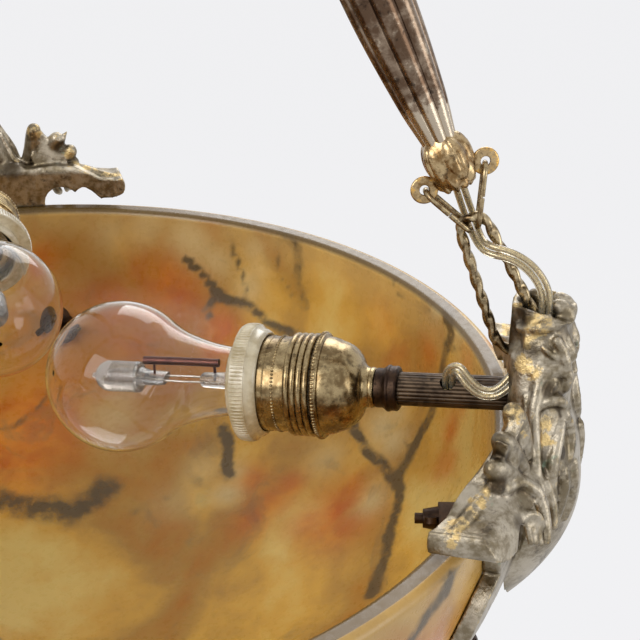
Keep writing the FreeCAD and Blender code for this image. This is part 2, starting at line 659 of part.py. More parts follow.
def flex_bends(points):
    """Bend radius at each inner point: 0.45 of the shorter run over the tangent of half the turn."""
    bends = [0.0]
    for i in range(1, len(points) - 1):
        before, after = points[i] - points[i - 1], points[i + 1] - points[i]
        turn = before.getAngle(after)
        bends.append(0.45 * min(before.Length, after.Length) / math.tan(turn / 2))
    return bends + [0.0]


def flex_strand(side):
    """One of the two strands, set off to one side of the route within the bracket's own plane."""
    points = []
    last = len(FLEX_ROUTE) - 1
    for i, point in enumerate(FLEX_ROUTE):
        before = (point - FLEX_ROUTE[max(i - 1, 0)] if i else FLEX_ROUTE[1] - point).normalize()
        after = (FLEX_ROUTE[i + 1] - point if i < last else point - FLEX_ROUTE[i - 1]).normalize()
        aside = (before + after).cross(V(0, 1, 0)).normalize()
        mitre = 1 / math.cos(before.getAngle(after) / 2)
        points.append(point + aside * (side * (FLEX_R + 0.09) * mitre))
    bends = flex_bends(points)
    strand = round_wire(points, FLEX_R, bends)
    runs = sum((b - a).Length for a, b in zip(points, points[1:]))
    print("flex strand", side, "runs", round(runs, 1), "smallest bend", round(min(bends[1:-1]), 1),
          "length by volume", round(strand.Volume / (math.pi * FLEX_R ** 2), 1))
    return strand


def flex():
    return Part.makeCompound([flex_strand(side) for side in (-1, 1)])


# ---- crown, swivel link and ceiling fittings --------------------------------------------------------
def ear_ring_centre():
    along = (ROD_FOOT[0] - EAR_CONTACT) / math.sin(TILT)
    return rod_point(along + 6.0)


def crown():
    body = turned((0, 410), (6, 410), ((9, 411.4), (11, 414)), ((20, 415), (28, 418)), ((30.5, 421.5), (28.5, 425)),
                  ((19, 429), (13, 436)), ((10.4, 441), (10.8, 446)), ((12.6, 449), (9.5, 452)), (5, 454), (0, 454))
    centre = ear_ring_centre()
    rings = []
    for angle in SIDES.values():
        ring = tube_ring(EAR_R, EAR_WIRE, centre, V(0, 1, 0))
        ring.rotate(V(0, 0, 0), AXIS, angle)
        rings.append(ring)
    eye = tube_ring(9.0, LOOP_WIRE, V(0, 0, CROWN_EYE_Z), V(0, 1, 0))
    whole = body.fuse(rings + [eye])
    return whole.cut(Part.makeCylinder(3, 6, V(0, 0, 405)).fuse(Part.makeCylinder(2.4, 12, V(0, 0, 405))))


def crown_finial():
    knob = turned((0, 396), ((5.4, 398.2), (5.6, 403)), (3.4, 405.4), ((7.4, 407.2), (7.0, 409.9)), (0, 409.9))
    return knob.fuse(Part.makeCylinder(2.3, 5, V(0, 0, 409)))


def swivel_link():
    half, run = 8.0, (SWIVEL_HIGH - SWIVEL_LOW) / 2 - 8.0
    middle = (SWIVEL_HIGH + SWIVEL_LOW) / 2
    edges = [Part.makeLine(V(0, half, middle - run), V(0, half, middle + run)),
             Part.Arc(V(0, half, middle + run), V(0, 0, SWIVEL_HIGH), V(0, -half, middle + run)).toShape(),
             Part.makeLine(V(0, -half, middle + run), V(0, -half, middle - run)),
             Part.Arc(V(0, -half, middle - run), V(0, 0, SWIVEL_LOW), V(0, half, middle - run)).toShape()]
    section = Part.Wire(Part.makeCircle(SWIVEL_WIRE, V(0, half, middle - run), V(0, 0, 1)))
    return Part.Wire(edges).makePipeShell([section], True, False)


def ceiling_loop():
    """Loop with a threaded collar; the ceiling plate's nipple screws into it."""
    ring = tube_ring(9.0, LOOP_WIRE, V(0, 0, LOOP_Z), V(0, 1, 0))
    collar = turned((0, 505.5), (7, 505.5), (12.7, 508.5), (12.7, 522), (9, 525), (0, 525))
    return ring.fuse(collar)


def ceiling_plate():
    plate = turned((0, DROP - PLATE_THICK), (PLATE_R, DROP - PLATE_THICK), (PLATE_R, DROP), (0, DROP))
    boss = turned((0, 525), (8, 525), (8, 545), ((9.5, 553), (17, DROP - PLATE_THICK)), (0, DROP - PLATE_THICK))
    plate = plate.fuse(boss)
    for side in (-1, 1):
        plate = plate.cut(Part.makeCylinder(PLATE_HOLE_R, 10, V(side * PLATE_HOLE_PITCH / 2, 0, DROP - 6)))
    return plate


def ceiling_cup():
    """Bell-shaped cup that hides the plate and the wiring."""
    return turned((13.8, CUP_FOOT), (19, CUP_FOOT), ((21.5, 514), (22.5, 517.5)), ((28, 525.5), (37, 528)),
                  ((48, 535), (52.5, 547)), ((54.2, 551.5), (CUP_R, 555)), (CUP_R, 559.5), (CUP_R - 1.6, 559.5),
                  (CUP_R - 1.6, 556.2), ((52.7, 552.4), (50.9, 548)), ((46.4, 536.4), (36, 529.8)),
                  ((26.8, 526.8), (20.8, 518.6)), (18, 514.2), (13.8, 514.2))


def cup_ring():
    return turned((13.1, 507.8), (15.6, 507.8), ((17.6, 509.6), (16.4, 511.9)), (13.1, 511.9))


def terminal_block():
    body = Part.makeBox(24, 12, 13, V(-12, 20, DROP - PLATE_THICK - 13))
    for x in (-6, 6):
        body = body.cut(Part.makeCylinder(2.0, 12, V(x, 20, DROP - PLATE_THICK - 7), V(0, 1, 0)))
        body = body.cut(Part.makeCylinder(1.9, 5, V(x, 26, DROP - PLATE_THICK - 13)))
    return body


# ---- write the pieces -------------------------------------------------------------------------------
def save(name, shape):
    solids = shape.Solids
    valid = shape.isValid() and all(s.isClosed() for s in solids)
    box = shape.BoundBox
    print(f"{name:22s} solids {len(solids)} faces {len(shape.Faces):4d} volume {shape.Volume:10.1f} "
          f"valid {valid} z {box.ZMin:7.1f} {box.ZMax:7.1f}")
    only = solids[0] if len(solids) == 1 else Part.makeCompound(solids)
    only.exportStep(os.path.join("parts", name + ".step"))


def main():
    os.makedirs("parts", exist_ok=True)
    save("alabaster_bowl", lowered(bowl()))
    foot_bud = on_rod(bud_with_lugs())
    head_bud = on_rod(upside_down(bud_with_lugs()))
    per_side = {
        "bracket": bracket(),
        "arm_tube": on_arm(arm_tube()),
        "arm_collar": on_arm(arm_collar()),
        "holder_cap": on_arm(holder_cap()),
        "holder_shell": on_arm(holder_shell()),
        "holder_core": on_arm(holder_core()),
        "shade_ring": on_arm(shade_ring()),
        "bulb_glass": on_arm(bulb_glass()),
        "bulb_cap": on_arm(bulb_cap()),
        "bulb_capsule": on_arm(bulb_capsule()),
        "twisted_link": twisted_link(),
        "rod": on_rod(rod_body()),
        "flex": flex(),
    }
    for name, shape in per_side.items():
        for side, angle in SIDES.items():
            save(f"{name}_{side}", at_side(shape, angle))
    shared = {
        "wire_links_lower": wire_links(False),
        "wire_links_upper": wire_links(True),
        "rod_buds_lower": foot_bud,
        "rod_buds_upper": head_bud,
        "holder_contacts": on_arm(holder_contacts()),
    }
    for name, shape in shared.items():
        save(name, Part.makeCompound([at_side(shape, angle) for angle in SIDES.values()]))
    save("clamp_screws", at_clamps(clamp_screw()))
    save("clamp_washers", at_clamps(clamp_washer()))
    save("wing_nuts", at_clamps(wing_nut()))
    for name, make in (("crown", crown), ("crown_finial", crown_finial), ("swivel_link", swivel_link),
                       ("ceiling_loop", ceiling_loop), ("ceiling_plate", ceiling_plate),
                       ("ceiling_cup", ceiling_cup), ("cup_ring", cup_ring), ("terminal_block", terminal_block)):
        save(name, lowered(make()))


main()
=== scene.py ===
"""Looks of an alabaster bowl pendant, built round its packed construction.

Whatever repeats on the three sides is drawn once in a side frame (X outwards from the bowl's axis,
Y along the rim, Z above the rim, in millimetres) and carried to each side.
"""

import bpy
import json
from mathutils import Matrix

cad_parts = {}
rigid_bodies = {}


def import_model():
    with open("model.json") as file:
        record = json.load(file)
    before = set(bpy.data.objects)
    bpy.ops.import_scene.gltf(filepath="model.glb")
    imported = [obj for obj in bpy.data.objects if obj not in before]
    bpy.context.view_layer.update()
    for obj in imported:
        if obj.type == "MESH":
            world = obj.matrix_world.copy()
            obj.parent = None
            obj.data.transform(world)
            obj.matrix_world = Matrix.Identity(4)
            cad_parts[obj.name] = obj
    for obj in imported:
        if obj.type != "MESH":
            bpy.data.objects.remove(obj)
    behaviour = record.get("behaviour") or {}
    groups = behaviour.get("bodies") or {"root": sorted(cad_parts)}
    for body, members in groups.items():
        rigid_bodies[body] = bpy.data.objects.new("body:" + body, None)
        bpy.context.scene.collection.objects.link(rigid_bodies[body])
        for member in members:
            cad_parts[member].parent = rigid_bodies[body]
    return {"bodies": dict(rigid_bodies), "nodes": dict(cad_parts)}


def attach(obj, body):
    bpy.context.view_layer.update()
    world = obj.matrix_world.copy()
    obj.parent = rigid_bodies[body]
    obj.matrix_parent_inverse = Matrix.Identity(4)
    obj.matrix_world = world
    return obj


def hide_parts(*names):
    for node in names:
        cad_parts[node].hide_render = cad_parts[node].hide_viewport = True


bl_info = {
    "name": "Alabaster bowl pendant",
    "version": (1, 0, 0),
    "blender": (4, 5, 0),
    "location": "View3D > Sidebar > Pendant",
    "description": "Builds the visible surfaces of an alabaster bowl pendant round its construction",
    "category": "Object",
}

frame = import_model()

import json
import math
import random

import bmesh
import bpy
import numpy as np
from mathutils import Matrix, Vector

MM = 0.001                       # shapes are written in millimetres, the scene is in metres
PIECE_WELD = 0.002 * MM
DROP = 560.0
SIDES = {"a": -30.0, "b": 90.0, "c": 210.0}
RIM_R, ARM_RISE, ARM_DROOP = 208.4, 27.2, 4.7
BOWL_WALL, BOWL_DEPTH, BOWL_SHOULDER, RIM_ROUND = 11.0, 145.0, 120.0, 3.5
ROD_FOOT, ROD_TILT, ROD_LENGTH = (181.4, 106.3), 25.3, 327.5
LUG_TURN, LUG_OFFSET, LUG_UP = 22.0, 11.7, 4.6
WIRE_R, LINK_PITCH = 1.0, 8.5
BAR_WIDE, BAR_THICK = 4.3, 3.0
ARM_R, ARM_BORE, ARM_REEDS = 6.35, 4.2, 22
WIRE_HOLE_AT, WIRE_HOLE_TILT, WIRE_HOLE_R = 27.3, 30.0, 3.0
BULB_R, BULB_CENTRE, GLASS_WALL = 30.0, 158.3, 0.7
EAR_CONTACT, EAR_R, EAR_WIRE = 36.0, 6.0, 1.9
LINK_TOP, LINK_TOP_R = Vector((187.7, 0, 90.4)), 5.4
LINK_LOW, LINK_LOW_R = Vector((204.3, 0, 53.6)), 8.6

TILT = math.radians(ROD_TILT)
ROD_AXIS = Vector((-math.sin(TILT), 0, math.cos(TILT)))
ROD_SIDE = Vector((math.cos(TILT), 0, math.sin(TILT)))


def side_place(angle):
    return Matrix.Translation((0, 0, -DROP)) @ Matrix.Rotation(math.radians(angle), 4, "Z")


ARM_PLACE = Matrix.Translation((RIM_R, 0, ARM_RISE)) @ Matrix.Rotation(-math.radians(90 + ARM_DROOP), 4, "Y")
ROD_PLACE = Matrix.Translation((ROD_FOOT[0], 0, ROD_FOOT[1])) @ Matrix.Rotation(-TILT, 4, "Y")


# ---- materials ------------------------------------------------------------------------------------
def tone(red, green, blue):
    """Screen colour from 0 to 255 as the light that a shader takes."""
    light = []
    for value in (red, green, blue):
        c = value / 255
        light.append(c / 12.92 if c <= 0.04045 else ((c + 0.055) / 1.055) ** 2.4)
    return (*light, 1.0)


def set_socket(tree, socket, value):
    if isinstance(value, Level):
        value = value.socket
    if isinstance(value, bpy.types.NodeSocket):
        tree.links.new(value, socket)
    elif value is not None:
        if socket.type == "RGBA" and isinstance(value, (int, float)):
            value = (value, value, value, 1.0)
        socket.default_value = value


def add_node(tree, kind, settings=None, values=None):
    """A node with its settings made first, then its sockets, by name or by number."""
    node = tree.nodes.new(kind)
    for key, value in (settings or {}).items():
        if key == "stops":
            while len(node.color_ramp.elements) < len(value):
                node.color_ramp.elements.new(0.5)
            for element, (place, colour) in zip(node.color_ramp.elements, value):
                element.position, element.color = place, colour
        else:
            setattr(node, key, value)
    for key, value in (values or {}).items():
        set_socket(tree, node.inputs[key], value)
    return node


class Level:
    """A socket in a material that takes Python's arithmetic."""

    def __init__(self, finish, socket):
        self.finish, self.socket = finish, socket

    def _math(self, operation, first, second):
        return self.finish.put("ShaderNodeMath", {"operation": operation}, {0: first, 1: second})

    def __add__(self, other):
        return self._math("ADD", self, other)

    def __sub__(self, other):
        return self._math("SUBTRACT", self, other)

    def __rsub__(self, other):
        return self._math("SUBTRACT", other, self)

    def __mul__(self, other):
        return self._math("MULTIPLY", self, other)

    __radd__, __rmul__ = __add__, __mul__


class Finish:
    """A material whose nodes are written as expressions."""

    def __init__(self, name):
        self.material = bpy.data.materials.new(name)
        self.material.use_nodes = True
        self.tree = self.material.node_tree
        self.tree.nodes.clear()
        self.spot = self.put("ShaderNodeTexCoord", output="Object")

    def put(self, kind, settings=None, values=None, output=0):
        return Level(self, add_node(self.tree, kind, settings, values).outputs[output])

    def stretched(self, scale, turn=(0, 0, 0)):
        return self.put("ShaderNodeMapping", None, {"Vector": self.spot, "Scale": scale, "Rotation": turn})

    def noise(self, size_mm, detail=4.0, roughness=0.55, distortion=0.0, spot=None):
        """Cloudy value whose patches are about size_mm across."""
        values = {"Vector": spot or self.spot, "Scale": 1000.0 / size_mm, "Detail": detail,
                  "Roughness": roughness, "Distortion": distortion}
        return self.put("ShaderNodeTexNoise", None, values)

    def step(self, value, low, high, to_low=0.0, to_high=1.0):
        values = {0: value, 1: low, 2: high, 3: to_low, 4: to_high}
        return self.put("ShaderNodeMapRange", {"interpolation_type": "SMOOTHSTEP"}, values)

    def mix(self, factor, first, second):
        return self.put("ShaderNodeMix", {"data_type": "RGBA", "blend_type": "MIX", "clamp_factor": True},
                        {0: factor, 6: first, 7: second}, 2)

    def ramp(self, value, *stops):
        return self.put("ShaderNodeValToRGB", {"stops": stops}, {0: value})

    def mark(self, name):
        """Value stored on the mesh's points."""
        return self.put("ShaderNodeAttribute", {"attribute_name": name}, output="Fac")

    def bump(self, height, depth_mm, strength=1.0):
        return self.put("ShaderNodeBump", None,
                        {"Height": height, "Distance": depth_mm * MM, "Strength": strength})

    def done(self, **sockets):
        """Close the material with one surface shader; underscores in names stand for spaces."""
        values = {key.replace("_", " "): value for key, value in sockets.items()}
        shader = add_node(self.tree, "ShaderNodeBsdfPrincipled", None, values)
        output = add_node(self.tree, "ShaderNodeOutputMaterial")
        self.tree.links.new(shader.outputs[0], output.inputs[0])
        return self.material


def alabaster():
    """Honey stone with orange clouds, a pale rim with painted shade on its top, and grey-brown veins."""
    look = bpy.context.scene.pendant_look
    f = Finish("alabaster")
    cloud = f.noise(95, 3.5, 0.5, 0.6)
    fine = f.noise(22, 5, 0.6, 0.4)
    streak = f.noise(30, 4, 0.55, 0.8, f.stretched((0.35, 1.0, 1.0), (0, 0, 0.6)))
    stone = f.ramp(cloud * 0.75 + fine * 0.25, (0.36, tone(228, 198, 116)), (0.45, tone(214, 168, 76)),
                   (0.54, look.honey[:] + (1.0,)), (0.64, tone(176, 116, 40)))
    warm = f.mark("warm")
    rust = f.mix(f.step(fine, 0.35, 0.65), tone(222, 134, 42), tone(194, 92, 22))
    stone = f.mix(warm * f.step(streak, 0.25, 0.6, 0.45, 0.95), stone, rust)
    pale = f.mark("pale")
    stone = f.mix(pale, stone, f.mix(fine, tone(226, 208, 160), tone(206, 180, 122)))
    vein = f.mark("vein") + f.mark("vein") * (f.noise(7, 5, 0.65) - 0.5) * 1.8
    stone = f.mix(f.step(vein, 0.14, 0.62, 0.0, 0.9), stone, look.vein[:] + (1.0,))
    # Painted shade: the top of the rim is darkened.
    stone = f.mix(f.mark("rim") * 0.9, stone, tone(98, 76, 38))
    smudge = f.step(f.noise(48, 5, 0.62, 1.4), 0.60, 0.72, 0.0, 0.35)
    stone = f.mix(smudge, stone, tone(120, 104, 76))
    grain = f.noise(3.5, 3, 0.6)
    return f.done(Base_Color=stone, Roughness=f.step(grain, 0.3, 0.7, 0.24, 0.36), Specular_IOR_Level=0.4,
                  Normal=f.bump(grain, 0.12, 0.35))


def metal(name, body, bright, dark, gilt=None, rough=(0.26, 0.46), grain_mm=0.9, depth=0.12, verdigris=0.0,
          patch_mm=11, metallic=0.95):
    """Old cast or turned brass: patina and painted shade that lie in the hollows, and worn bright metal on what stands
    out.
    """
    f = Finish(name)
    patch = f.noise(patch_mm, 5, 0.6, 0.5)
    fine = f.noise(grain_mm * 2.6, 5, 0.65)
    colour = f.mix(f.step(patch + (fine - 0.5) * 0.5, 0.36, 0.62), body, bright)
    colour = f.mix(f.step(f.noise(patch_mm * 0.45, 4, 0.6) + (fine - 0.5) * 0.4, 0.56, 0.72, 0.0, 0.75), colour, dark)
    if gilt:
        worn = f.step(f.mark("gilt") + (fine - 0.5) * 1.5 + (patch - 0.5) * 0.8, 0.42, 0.7)
        colour = f.mix(worn, colour, gilt)
        # The hollow mark darkens recesses: patina with painted shade.
        hollow = f.step(f.mark("hollow") + (fine - 0.5) * 0.3, 0.25, 0.8, 0.0, 0.85)
        colour = f.mix(hollow, colour, dark)
    if verdigris:
        green = f.step(f.noise(6, 4, 0.6, 0.4), 0.64, 0.74, 0.0, verdigris)
        colour = f.mix(green, colour, tone(120, 150, 128))
    rust = f.step(fine, 0.3, 0.75, rough[0], rough[1])
    height = f.noise(grain_mm, 3, 0.6) + fine * 0.6
    if gilt:
        height = height * (f.mark("gilt") * 2.2 + 0.6)
    return f.done(Base_Color=colour, Metallic=metallic, Roughness=rust, Normal=f.bump(height, depth, 0.7))


def plain(name, first, second, size_mm=8, rough=(0.3, 0.45), depth=0.03, **more):
    f = Finish(name)
    patch = f.noise(size_mm, 4, 0.55)
    colour = f.mix(f.step(patch, 0.35, 0.65), first, second)
    return f.done(Base_Color=colour, Roughness=f.step(f.noise(size_mm * 0.4, 3), 0.3, 0.7, *rough),
                  Normal=f.bump(f.noise(size_mm * 0.15, 3), depth, 0.5), **more)


def clear_glass():
    f = Finish("clear_glass")
    haze = f.noise(14, 3, 0.5)
    return f.done(Base_Color=f.mix(haze, (1.0, 1.0, 1.0, 1), (0.985, 0.985, 0.98, 1)),
                  Roughness=f.step(haze, 0.3, 0.7, 0.0, 0.015), Transmission_Weight=1.0, IOR=1.24)


def sheath():
    """Clear soft plastic of the flex over its tinned strands."""
    f = Finish("clear_sheath")
    twist = f.noise(2.4, 3, 0.5, 0.3)
    return f.done(Base_Color=f.mix(twist, tone(240, 234, 214), tone(222, 212, 184)), Roughness=0.14,
                  Transmission_Weight=0.82, IOR=1.42, Coat_Weight=0.6, Coat_Roughness=0.08,
                  Normal=f.bump(twist, 0.05, 0.4))


def make_finishes():
    warm_gold, deep = tone(200, 174, 122), tone(62, 50, 38)
    kinds = {
        "alabaster": alabaster(),
        "cast": metal("cast_metal", tone(122, 110, 88), tone(178, 168, 150), tone(58, 46, 32), gilt=warm_gold,
                      rough=(0.3, 0.5), grain_mm=1.1, depth=0.3, verdigris=0.35, patch_mm=16),
        "bud": metal("bud_metal", tone(126, 98, 62), tone(186, 162, 122), tone(48, 34, 24), gilt=tone(214, 168, 88),
                     rough=(0.2, 0.34), depth=0.08, patch_mm=5),
        # The rod's gilt colour is the silver of its flute ridges: worn metal with a painted highlight.
        "rod": metal("rod_metal", tone(92, 72, 56), tone(140, 122, 104), tone(40, 30, 24),
                     gilt=tone(184, 170, 150), rough=(0.2, 0.32), depth=0.04, patch_mm=9),
        "link": metal("link_metal", tone(96, 78, 54), tone(184, 166, 132), tone(40, 30, 22), rough=(0.2, 0.34),
                      depth=0.05, patch_mm=6),
        "wire": metal("wire_metal", tone(120, 100, 72), tone(168, 150, 116), tone(52, 42, 30), rough=(0.22, 0.36),
                      depth=0.03, patch_mm=3),
        "tube": metal("tube_metal", tone(50, 40, 32), tone(82, 68, 54), tone(24, 19, 15), rough=(0.36, 0.55),
                      depth=0.05, patch_mm=7),
        "holder": metal("holder_metal", tone(112, 92, 62), tone(168, 148, 110), tone(56, 43, 28),
                        rough=(0.18, 0.34), depth=0.03, patch_mm=8),
        "dark": metal("dark_metal", tone(46, 34, 28), tone(66, 50, 38), tone(24, 18, 14), rough=(0.35, 0.55),
                      depth=0.1, patch_mm=4),
        "canopy": metal("canopy_metal", tone(150, 138, 116), tone(196, 186, 164), deep, rough=(0.24, 0.4),
                        depth=0.05, patch_mm=14),
        "steel": metal("steel_metal", tone(120, 118, 112), tone(160, 158, 152), deep, rough=(0.3, 0.5), depth=0.05),
        "cap": metal("screw_cap_metal", tone(176, 174, 168), tone(206, 204, 198), tone(120, 116, 108),
                     rough=(0.25, 0.4), depth=0.02),
        "porcelain": plain("porcelain", tone(212, 200, 172), tone(184, 168, 134), 6, (0.2, 0.34), 0.02,
                           Coat_Weight=0.5, Coat_Roughness=0.1),
        "bisque": plain("bisque", tone(222, 212, 192), tone(206, 192, 168), 6, (0.5, 0.65)),
        "glass": clear_glass(),
        "pinch": plain("pinch_glass", tone(226, 222, 216), tone(206, 200, 194), 3, (0.1, 0.2), 0.05,
                       Transmission_Weight=0.85, IOR=1.46),
        "shield": metal("shield_metal", tone(74, 44, 40), tone(96, 60, 50), tone(40, 26, 26), rough=(0.3, 0.45),
                        depth=0.02, patch_mm=5),
        "lead": metal("lead_metal", tone(180, 172, 160), tone(214, 206, 196), tone(120, 104, 90), depth=0.01),
        "sheath": sheath(),
        "copper": metal("strand_metal", tone(196, 176, 132), tone(226, 210, 170), tone(140, 118, 80),
                        rough=(0.22, 0.35), depth=0.05, patch_mm=1.2),
        "leather": plain("packing_leather", tone(70, 50, 34), tone(52, 36, 24), 3, (0.6, 0.8), 0.2),
        "plastic": plain("terminal_plastic", tone(226, 222, 214), tone(214, 210, 200), 7, (0.4, 0.55)),
    }
    return kinds


# ---- mesh drawing ---------------------------------------------------------------------------------
def outline(points, facets=10):
    """Points of a profile; a pair ((a, b), (c, d)) is an arc through the first to the second."""
    path = [points[0]]
    for step in points[1:]:
        if not isinstance(step[0], tuple):
            path.append(step)
            continue
        (ax, ay), (bx, by), (cx, cy) = path[-1], step[0], step[1]
        d = 2 * (ax * (by - cy) + bx * (cy - ay) + cx * (ay - by))
        ux = ((ax * ax + ay * ay) * (by - cy) + (bx * bx + by * by) * (cy - ay) + (cx * cx + cy * cy) * (ay - by)) / d
        uy = ((ax * ax + ay * ay) * (cx - bx) + (bx * bx + by * by) * (ax - cx) + (cx * cx + cy * cy) * (bx - ax)) / d
        radius = math.hypot(ax - ux, ay - uy)
        start, end = math.atan2(ay - uy, ax - ux), math.atan2(cy - uy, cx - ux)
        middle = math.atan2(by - uy, bx - ux)
        sweep = (end - start) % (2 * math.pi)
        if (middle - start) % (2 * math.pi) > sweep:
            sweep -= 2 * math.pi
        for i in range(1, facets + 1):
            a = start + sweep * i / facets
            path.append((ux + radius * math.cos(a), uy + radius * math.sin(a)))
    return path


def divided(path, longest):
    """The same profile with long straight runs cut up."""
    out = [path[0]]
    for a, b in zip(path, path[1:]):
        parts = max(1, math.ceil(math.dist(a, b) / longest))
        out += [tuple(p + (q - p) * i / parts for p, q in zip(a, b)) for i in range(1, parts + 1)]
    return out


def spun(path, segments=96, closed=True, shape=None):
    """Surface of revolution about Z; shape(radius, height, angle) may change a point's radius."""
    points, faces, rings = [], [], []
    for r, z in path:
        if r < 1e-6:
            rings.append([len(points)] * segments)
            points.append((0.0, 0.0, z))
            continue
        rings.append(list(range(len(points), len(points) + segments)))
        for j in range(segments):
            a = 2 * math.pi * j / segments
            radius = shape(r, z, a) if shape else r
            points.append((radius * math.cos(a), radius * math.sin(a), z))
    count = len(rings) if closed else len(rings) - 1
    for i in range(count):
        low, high = rings[i], rings[(i + 1) % len(rings)]
        for j in range(segments):
            k = (j + 1) % segments
            quad = [low[j], low[k], high[k], high[j]]
            face = [v for n, v in enumerate(quad) if v != quad[n - 1]]
            if len(face) > 2:
                faces.append(face)
    return points, faces


def turned(points, segments=96, facets=10):
    """A closed profile turned about Z; one that touches the axis is left open there."""
    path = outline(list(points) + [points[0]], facets)[:-1]
    on_axis = [p for p in path if p[0] < 1e-6]
    if len(on_axis) >= 2:
        first = max(i for i, p in enumerate(path) if p[0] < 1e-6 and path[(i + 1) % len(path)][0] >= 1e-6)
        path = path[first:] + path[:first]
        path = path[:1] + [p for p in path[1:] if p[0] >= 1e-6] + [next(p for p in reversed(path) if p[0] < 1e-6)]
        return spun(path, segments, False)
    return spun(path, segments)


def blank_mesh(name, points, faces):
    mesh = bpy.data.meshes.new(name)
    mesh.from_pydata([tuple(p) for p in points], [], faces)
    mesh.update()
    return mesh


def outward(mesh, weld):
    """Weld the mesh and turn its faces outwards."""
    tool = bmesh.new()
    tool.from_mesh(mesh)
    bmesh.ops.remove_doubles(tool, verts=tool.verts, dist=weld)
    bmesh.ops.recalc_face_normals(tool, faces=tool.faces)
    tool.to_mesh(mesh)
    tool.free()
    return mesh


def joined(*shapes):
    """Several (points, faces) shapes as one."""
    points, faces = [], []
    for more_points, more_faces in shapes:
        start = len(points)
        points += [tuple(p) for p in more_points]
        faces += [[start + i for i in face] for face in more_faces]
    return points, faces


def moved(shape, place):
    points, faces = shape
    return [tuple(place @ Vector(p)) for p in points], faces


def on_all_sides(shape):
    return joined(*[moved(shape, side_place(angle)) for angle in SIDES.values()])


def piece(name, shape, finish, body, slot, replaces=(), sharp=40):
    """Finished object: millimetre points in the row frame, its place in its mesh."""
    points, faces = shape
    mesh = blank_mesh(name, [[c * MM for c in p] for p in points], faces)
    outward(mesh, PIECE_WELD)
    mesh.shade_smooth()
    mesh.set_sharp_from_angle(angle=math.radians(sharp))
    obj = bpy.data.objects.new(name, mesh)
    bpy.context.scene.collection.objects.link(obj)
    mesh.materials.clear()
    mesh.materials.append(FINISHES[finish])
    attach(obj, body)
    if replaces:
        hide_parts(*replaces)
    return obj


def per_side(name, shape, finish, body, slot, node=None, **more):
    for side, angle in SIDES.items():
        whose = body if body in frame["bodies"] else f"{body}_{side}"
        nodes = [f"{node}_{side}"] if node else []
        piece(f"{name}_{side}", moved(shape, side_place(angle)), finish, whose, slot, nodes, **more)


def points_of(mesh):
    """The mesh's points in millimetres."""
    place = np.empty(len(mesh.vertices) * 3)
    mesh.vertices.foreach_get("co", place)
    return place.reshape(-1, 3) / MM


def normals_of(mesh):
    normal = np.empty(len(mesh.vertices) * 3)
    mesh.vertices.foreach_get("normal", normal)
    return normal.reshape(-1, 3)


def mark(mesh, label, value):
    layer = mesh.attributes.new(label, "FLOAT", "POINT")
    layer.data.foreach_set("value", value.astype(np.float32))


def keep_node(node, finish):
    """A construction piece whose shape is right gets its finish."""
    obj = frame["nodes"][node]
    obj.data.materials.clear()
    obj.data.materials.append(FINISHES[finish])


# ---- geometry nodes -------------------------------------------------------------------------------
KINDS = {"VALUE": "NodeSocketFloat", "INT": "NodeSocketInt", "MATERIAL": "NodeSocketMaterial"}


class Grower:
    """A node tree with named inputs that grows one kind of repeated part."""

    def __init__(self, name, **inputs):
        self.tree = bpy.data.node_groups.new(name, "GeometryNodeTree")
        face = self.tree.interface
        face.new_socket("Geometry", in_out="INPUT", socket_type="NodeSocketGeometry")
        face.new_socket("Geometry", in_out="OUTPUT", socket_type="NodeSocketGeometry")
        for label, (kind, value) in inputs.items():
            socket = face.new_socket(label.replace("_", " "), in_out="INPUT", socket_type=KINDS[kind])
            if value is not None:
                socket.default_value = value
        self.inlet = self.tree.nodes.new("NodeGroupInput")

    def given(self, label):
        return self.inlet.outputs[label]

    def put(self, kind, settings=None, values=None, output=0):
        return add_node(self.tree, kind, settings, values).outputs[output]

    def finish(self, geometry):
        solid = self.put("GeometryNodeRealizeInstances", None, {0: geometry})
        dressed = self.put("GeometryNodeSetMaterial", None, {0: solid, "Material": self.given("Finish")})
        outlet = self.tree.nodes.new("NodeGroupOutput")
        self.tree.links.new(dressed, outlet.inputs[0])

    def grow(self, points, edges, marks=None, **values):
        """Plain points and faces grown from a set of points and edges, in millimetres."""
        seed = bpy.data.meshes.new("seed")
        seed.from_pydata([tuple(p) for p in points], edges, [])
        for label, numbers in (marks or {}).items():
            seed.attributes.new(label, "FLOAT", "POINT").data.foreach_set("value", numbers)
        holder = bpy.data.objects.new("seed", seed)
        bpy.context.scene.collection.objects.link(holder)
        modifier = holder.modifiers.new("grow", "NODES")
        modifier.node_group = self.tree
        for item in self.tree.interface.items_tree:
            key = item.name.replace(" ", "_")
            if item.in_out == "INPUT" and key in values:
                modifier[item.identifier] = values[key]
        bpy.context.view_layer.update()
        graph = bpy.context.evaluated_depsgraph_get()
        grown = bpy.data.meshes.new_from_object(holder.evaluated_get(graph))
        shape = [tuple(v.co) for v in grown.vertices], [list(p.vertices) for p in grown.polygons]
        bpy.data.objects.remove(holder)
        bpy.data.meshes.remove(grown)
        return shape


def swept_tree(flat):
    """A bar or wire that follows a path; its turn comes from the path's own marks."""
    g = Grower("swept bar" if flat else "swept wire", Width=("VALUE", 4.0), Thickness=("VALUE", 3.0),
               Round=("VALUE", 0.5), Finish=("MATERIAL", None))
    curve = g.put("GeometryNodeMeshToCurve", None, {0: g.inlet.outputs[0]})
    turn = g.put("GeometryNodeInputNamedAttribute", {"data_type": "FLOAT"}, {"Name": "turn"})
    curve = g.put("GeometryNodeSetCurveTilt", None, {0: curve, "Tilt": turn})
    if flat:
        section = g.put("GeometryNodeCurvePrimitiveQuadrilateral", None,
                        {"Width": g.given("Width"), "Height": g.given("Thickness")})
        section = g.put("GeometryNodeFilletCurve", {"mode": "POLY"},
                        {0: section, "Count": 4, "Radius": g.given("Round")})
    else:
        section = g.put("GeometryNodeCurvePrimitiveCircle", None, {"Resolution": 16, "Radius": g.given("Width")})
    solid = g.put("GeometryNodeCurveToMesh", None, {0: curve, 1: section, "Fill Caps": True})
    g.finish(solid)
    return g


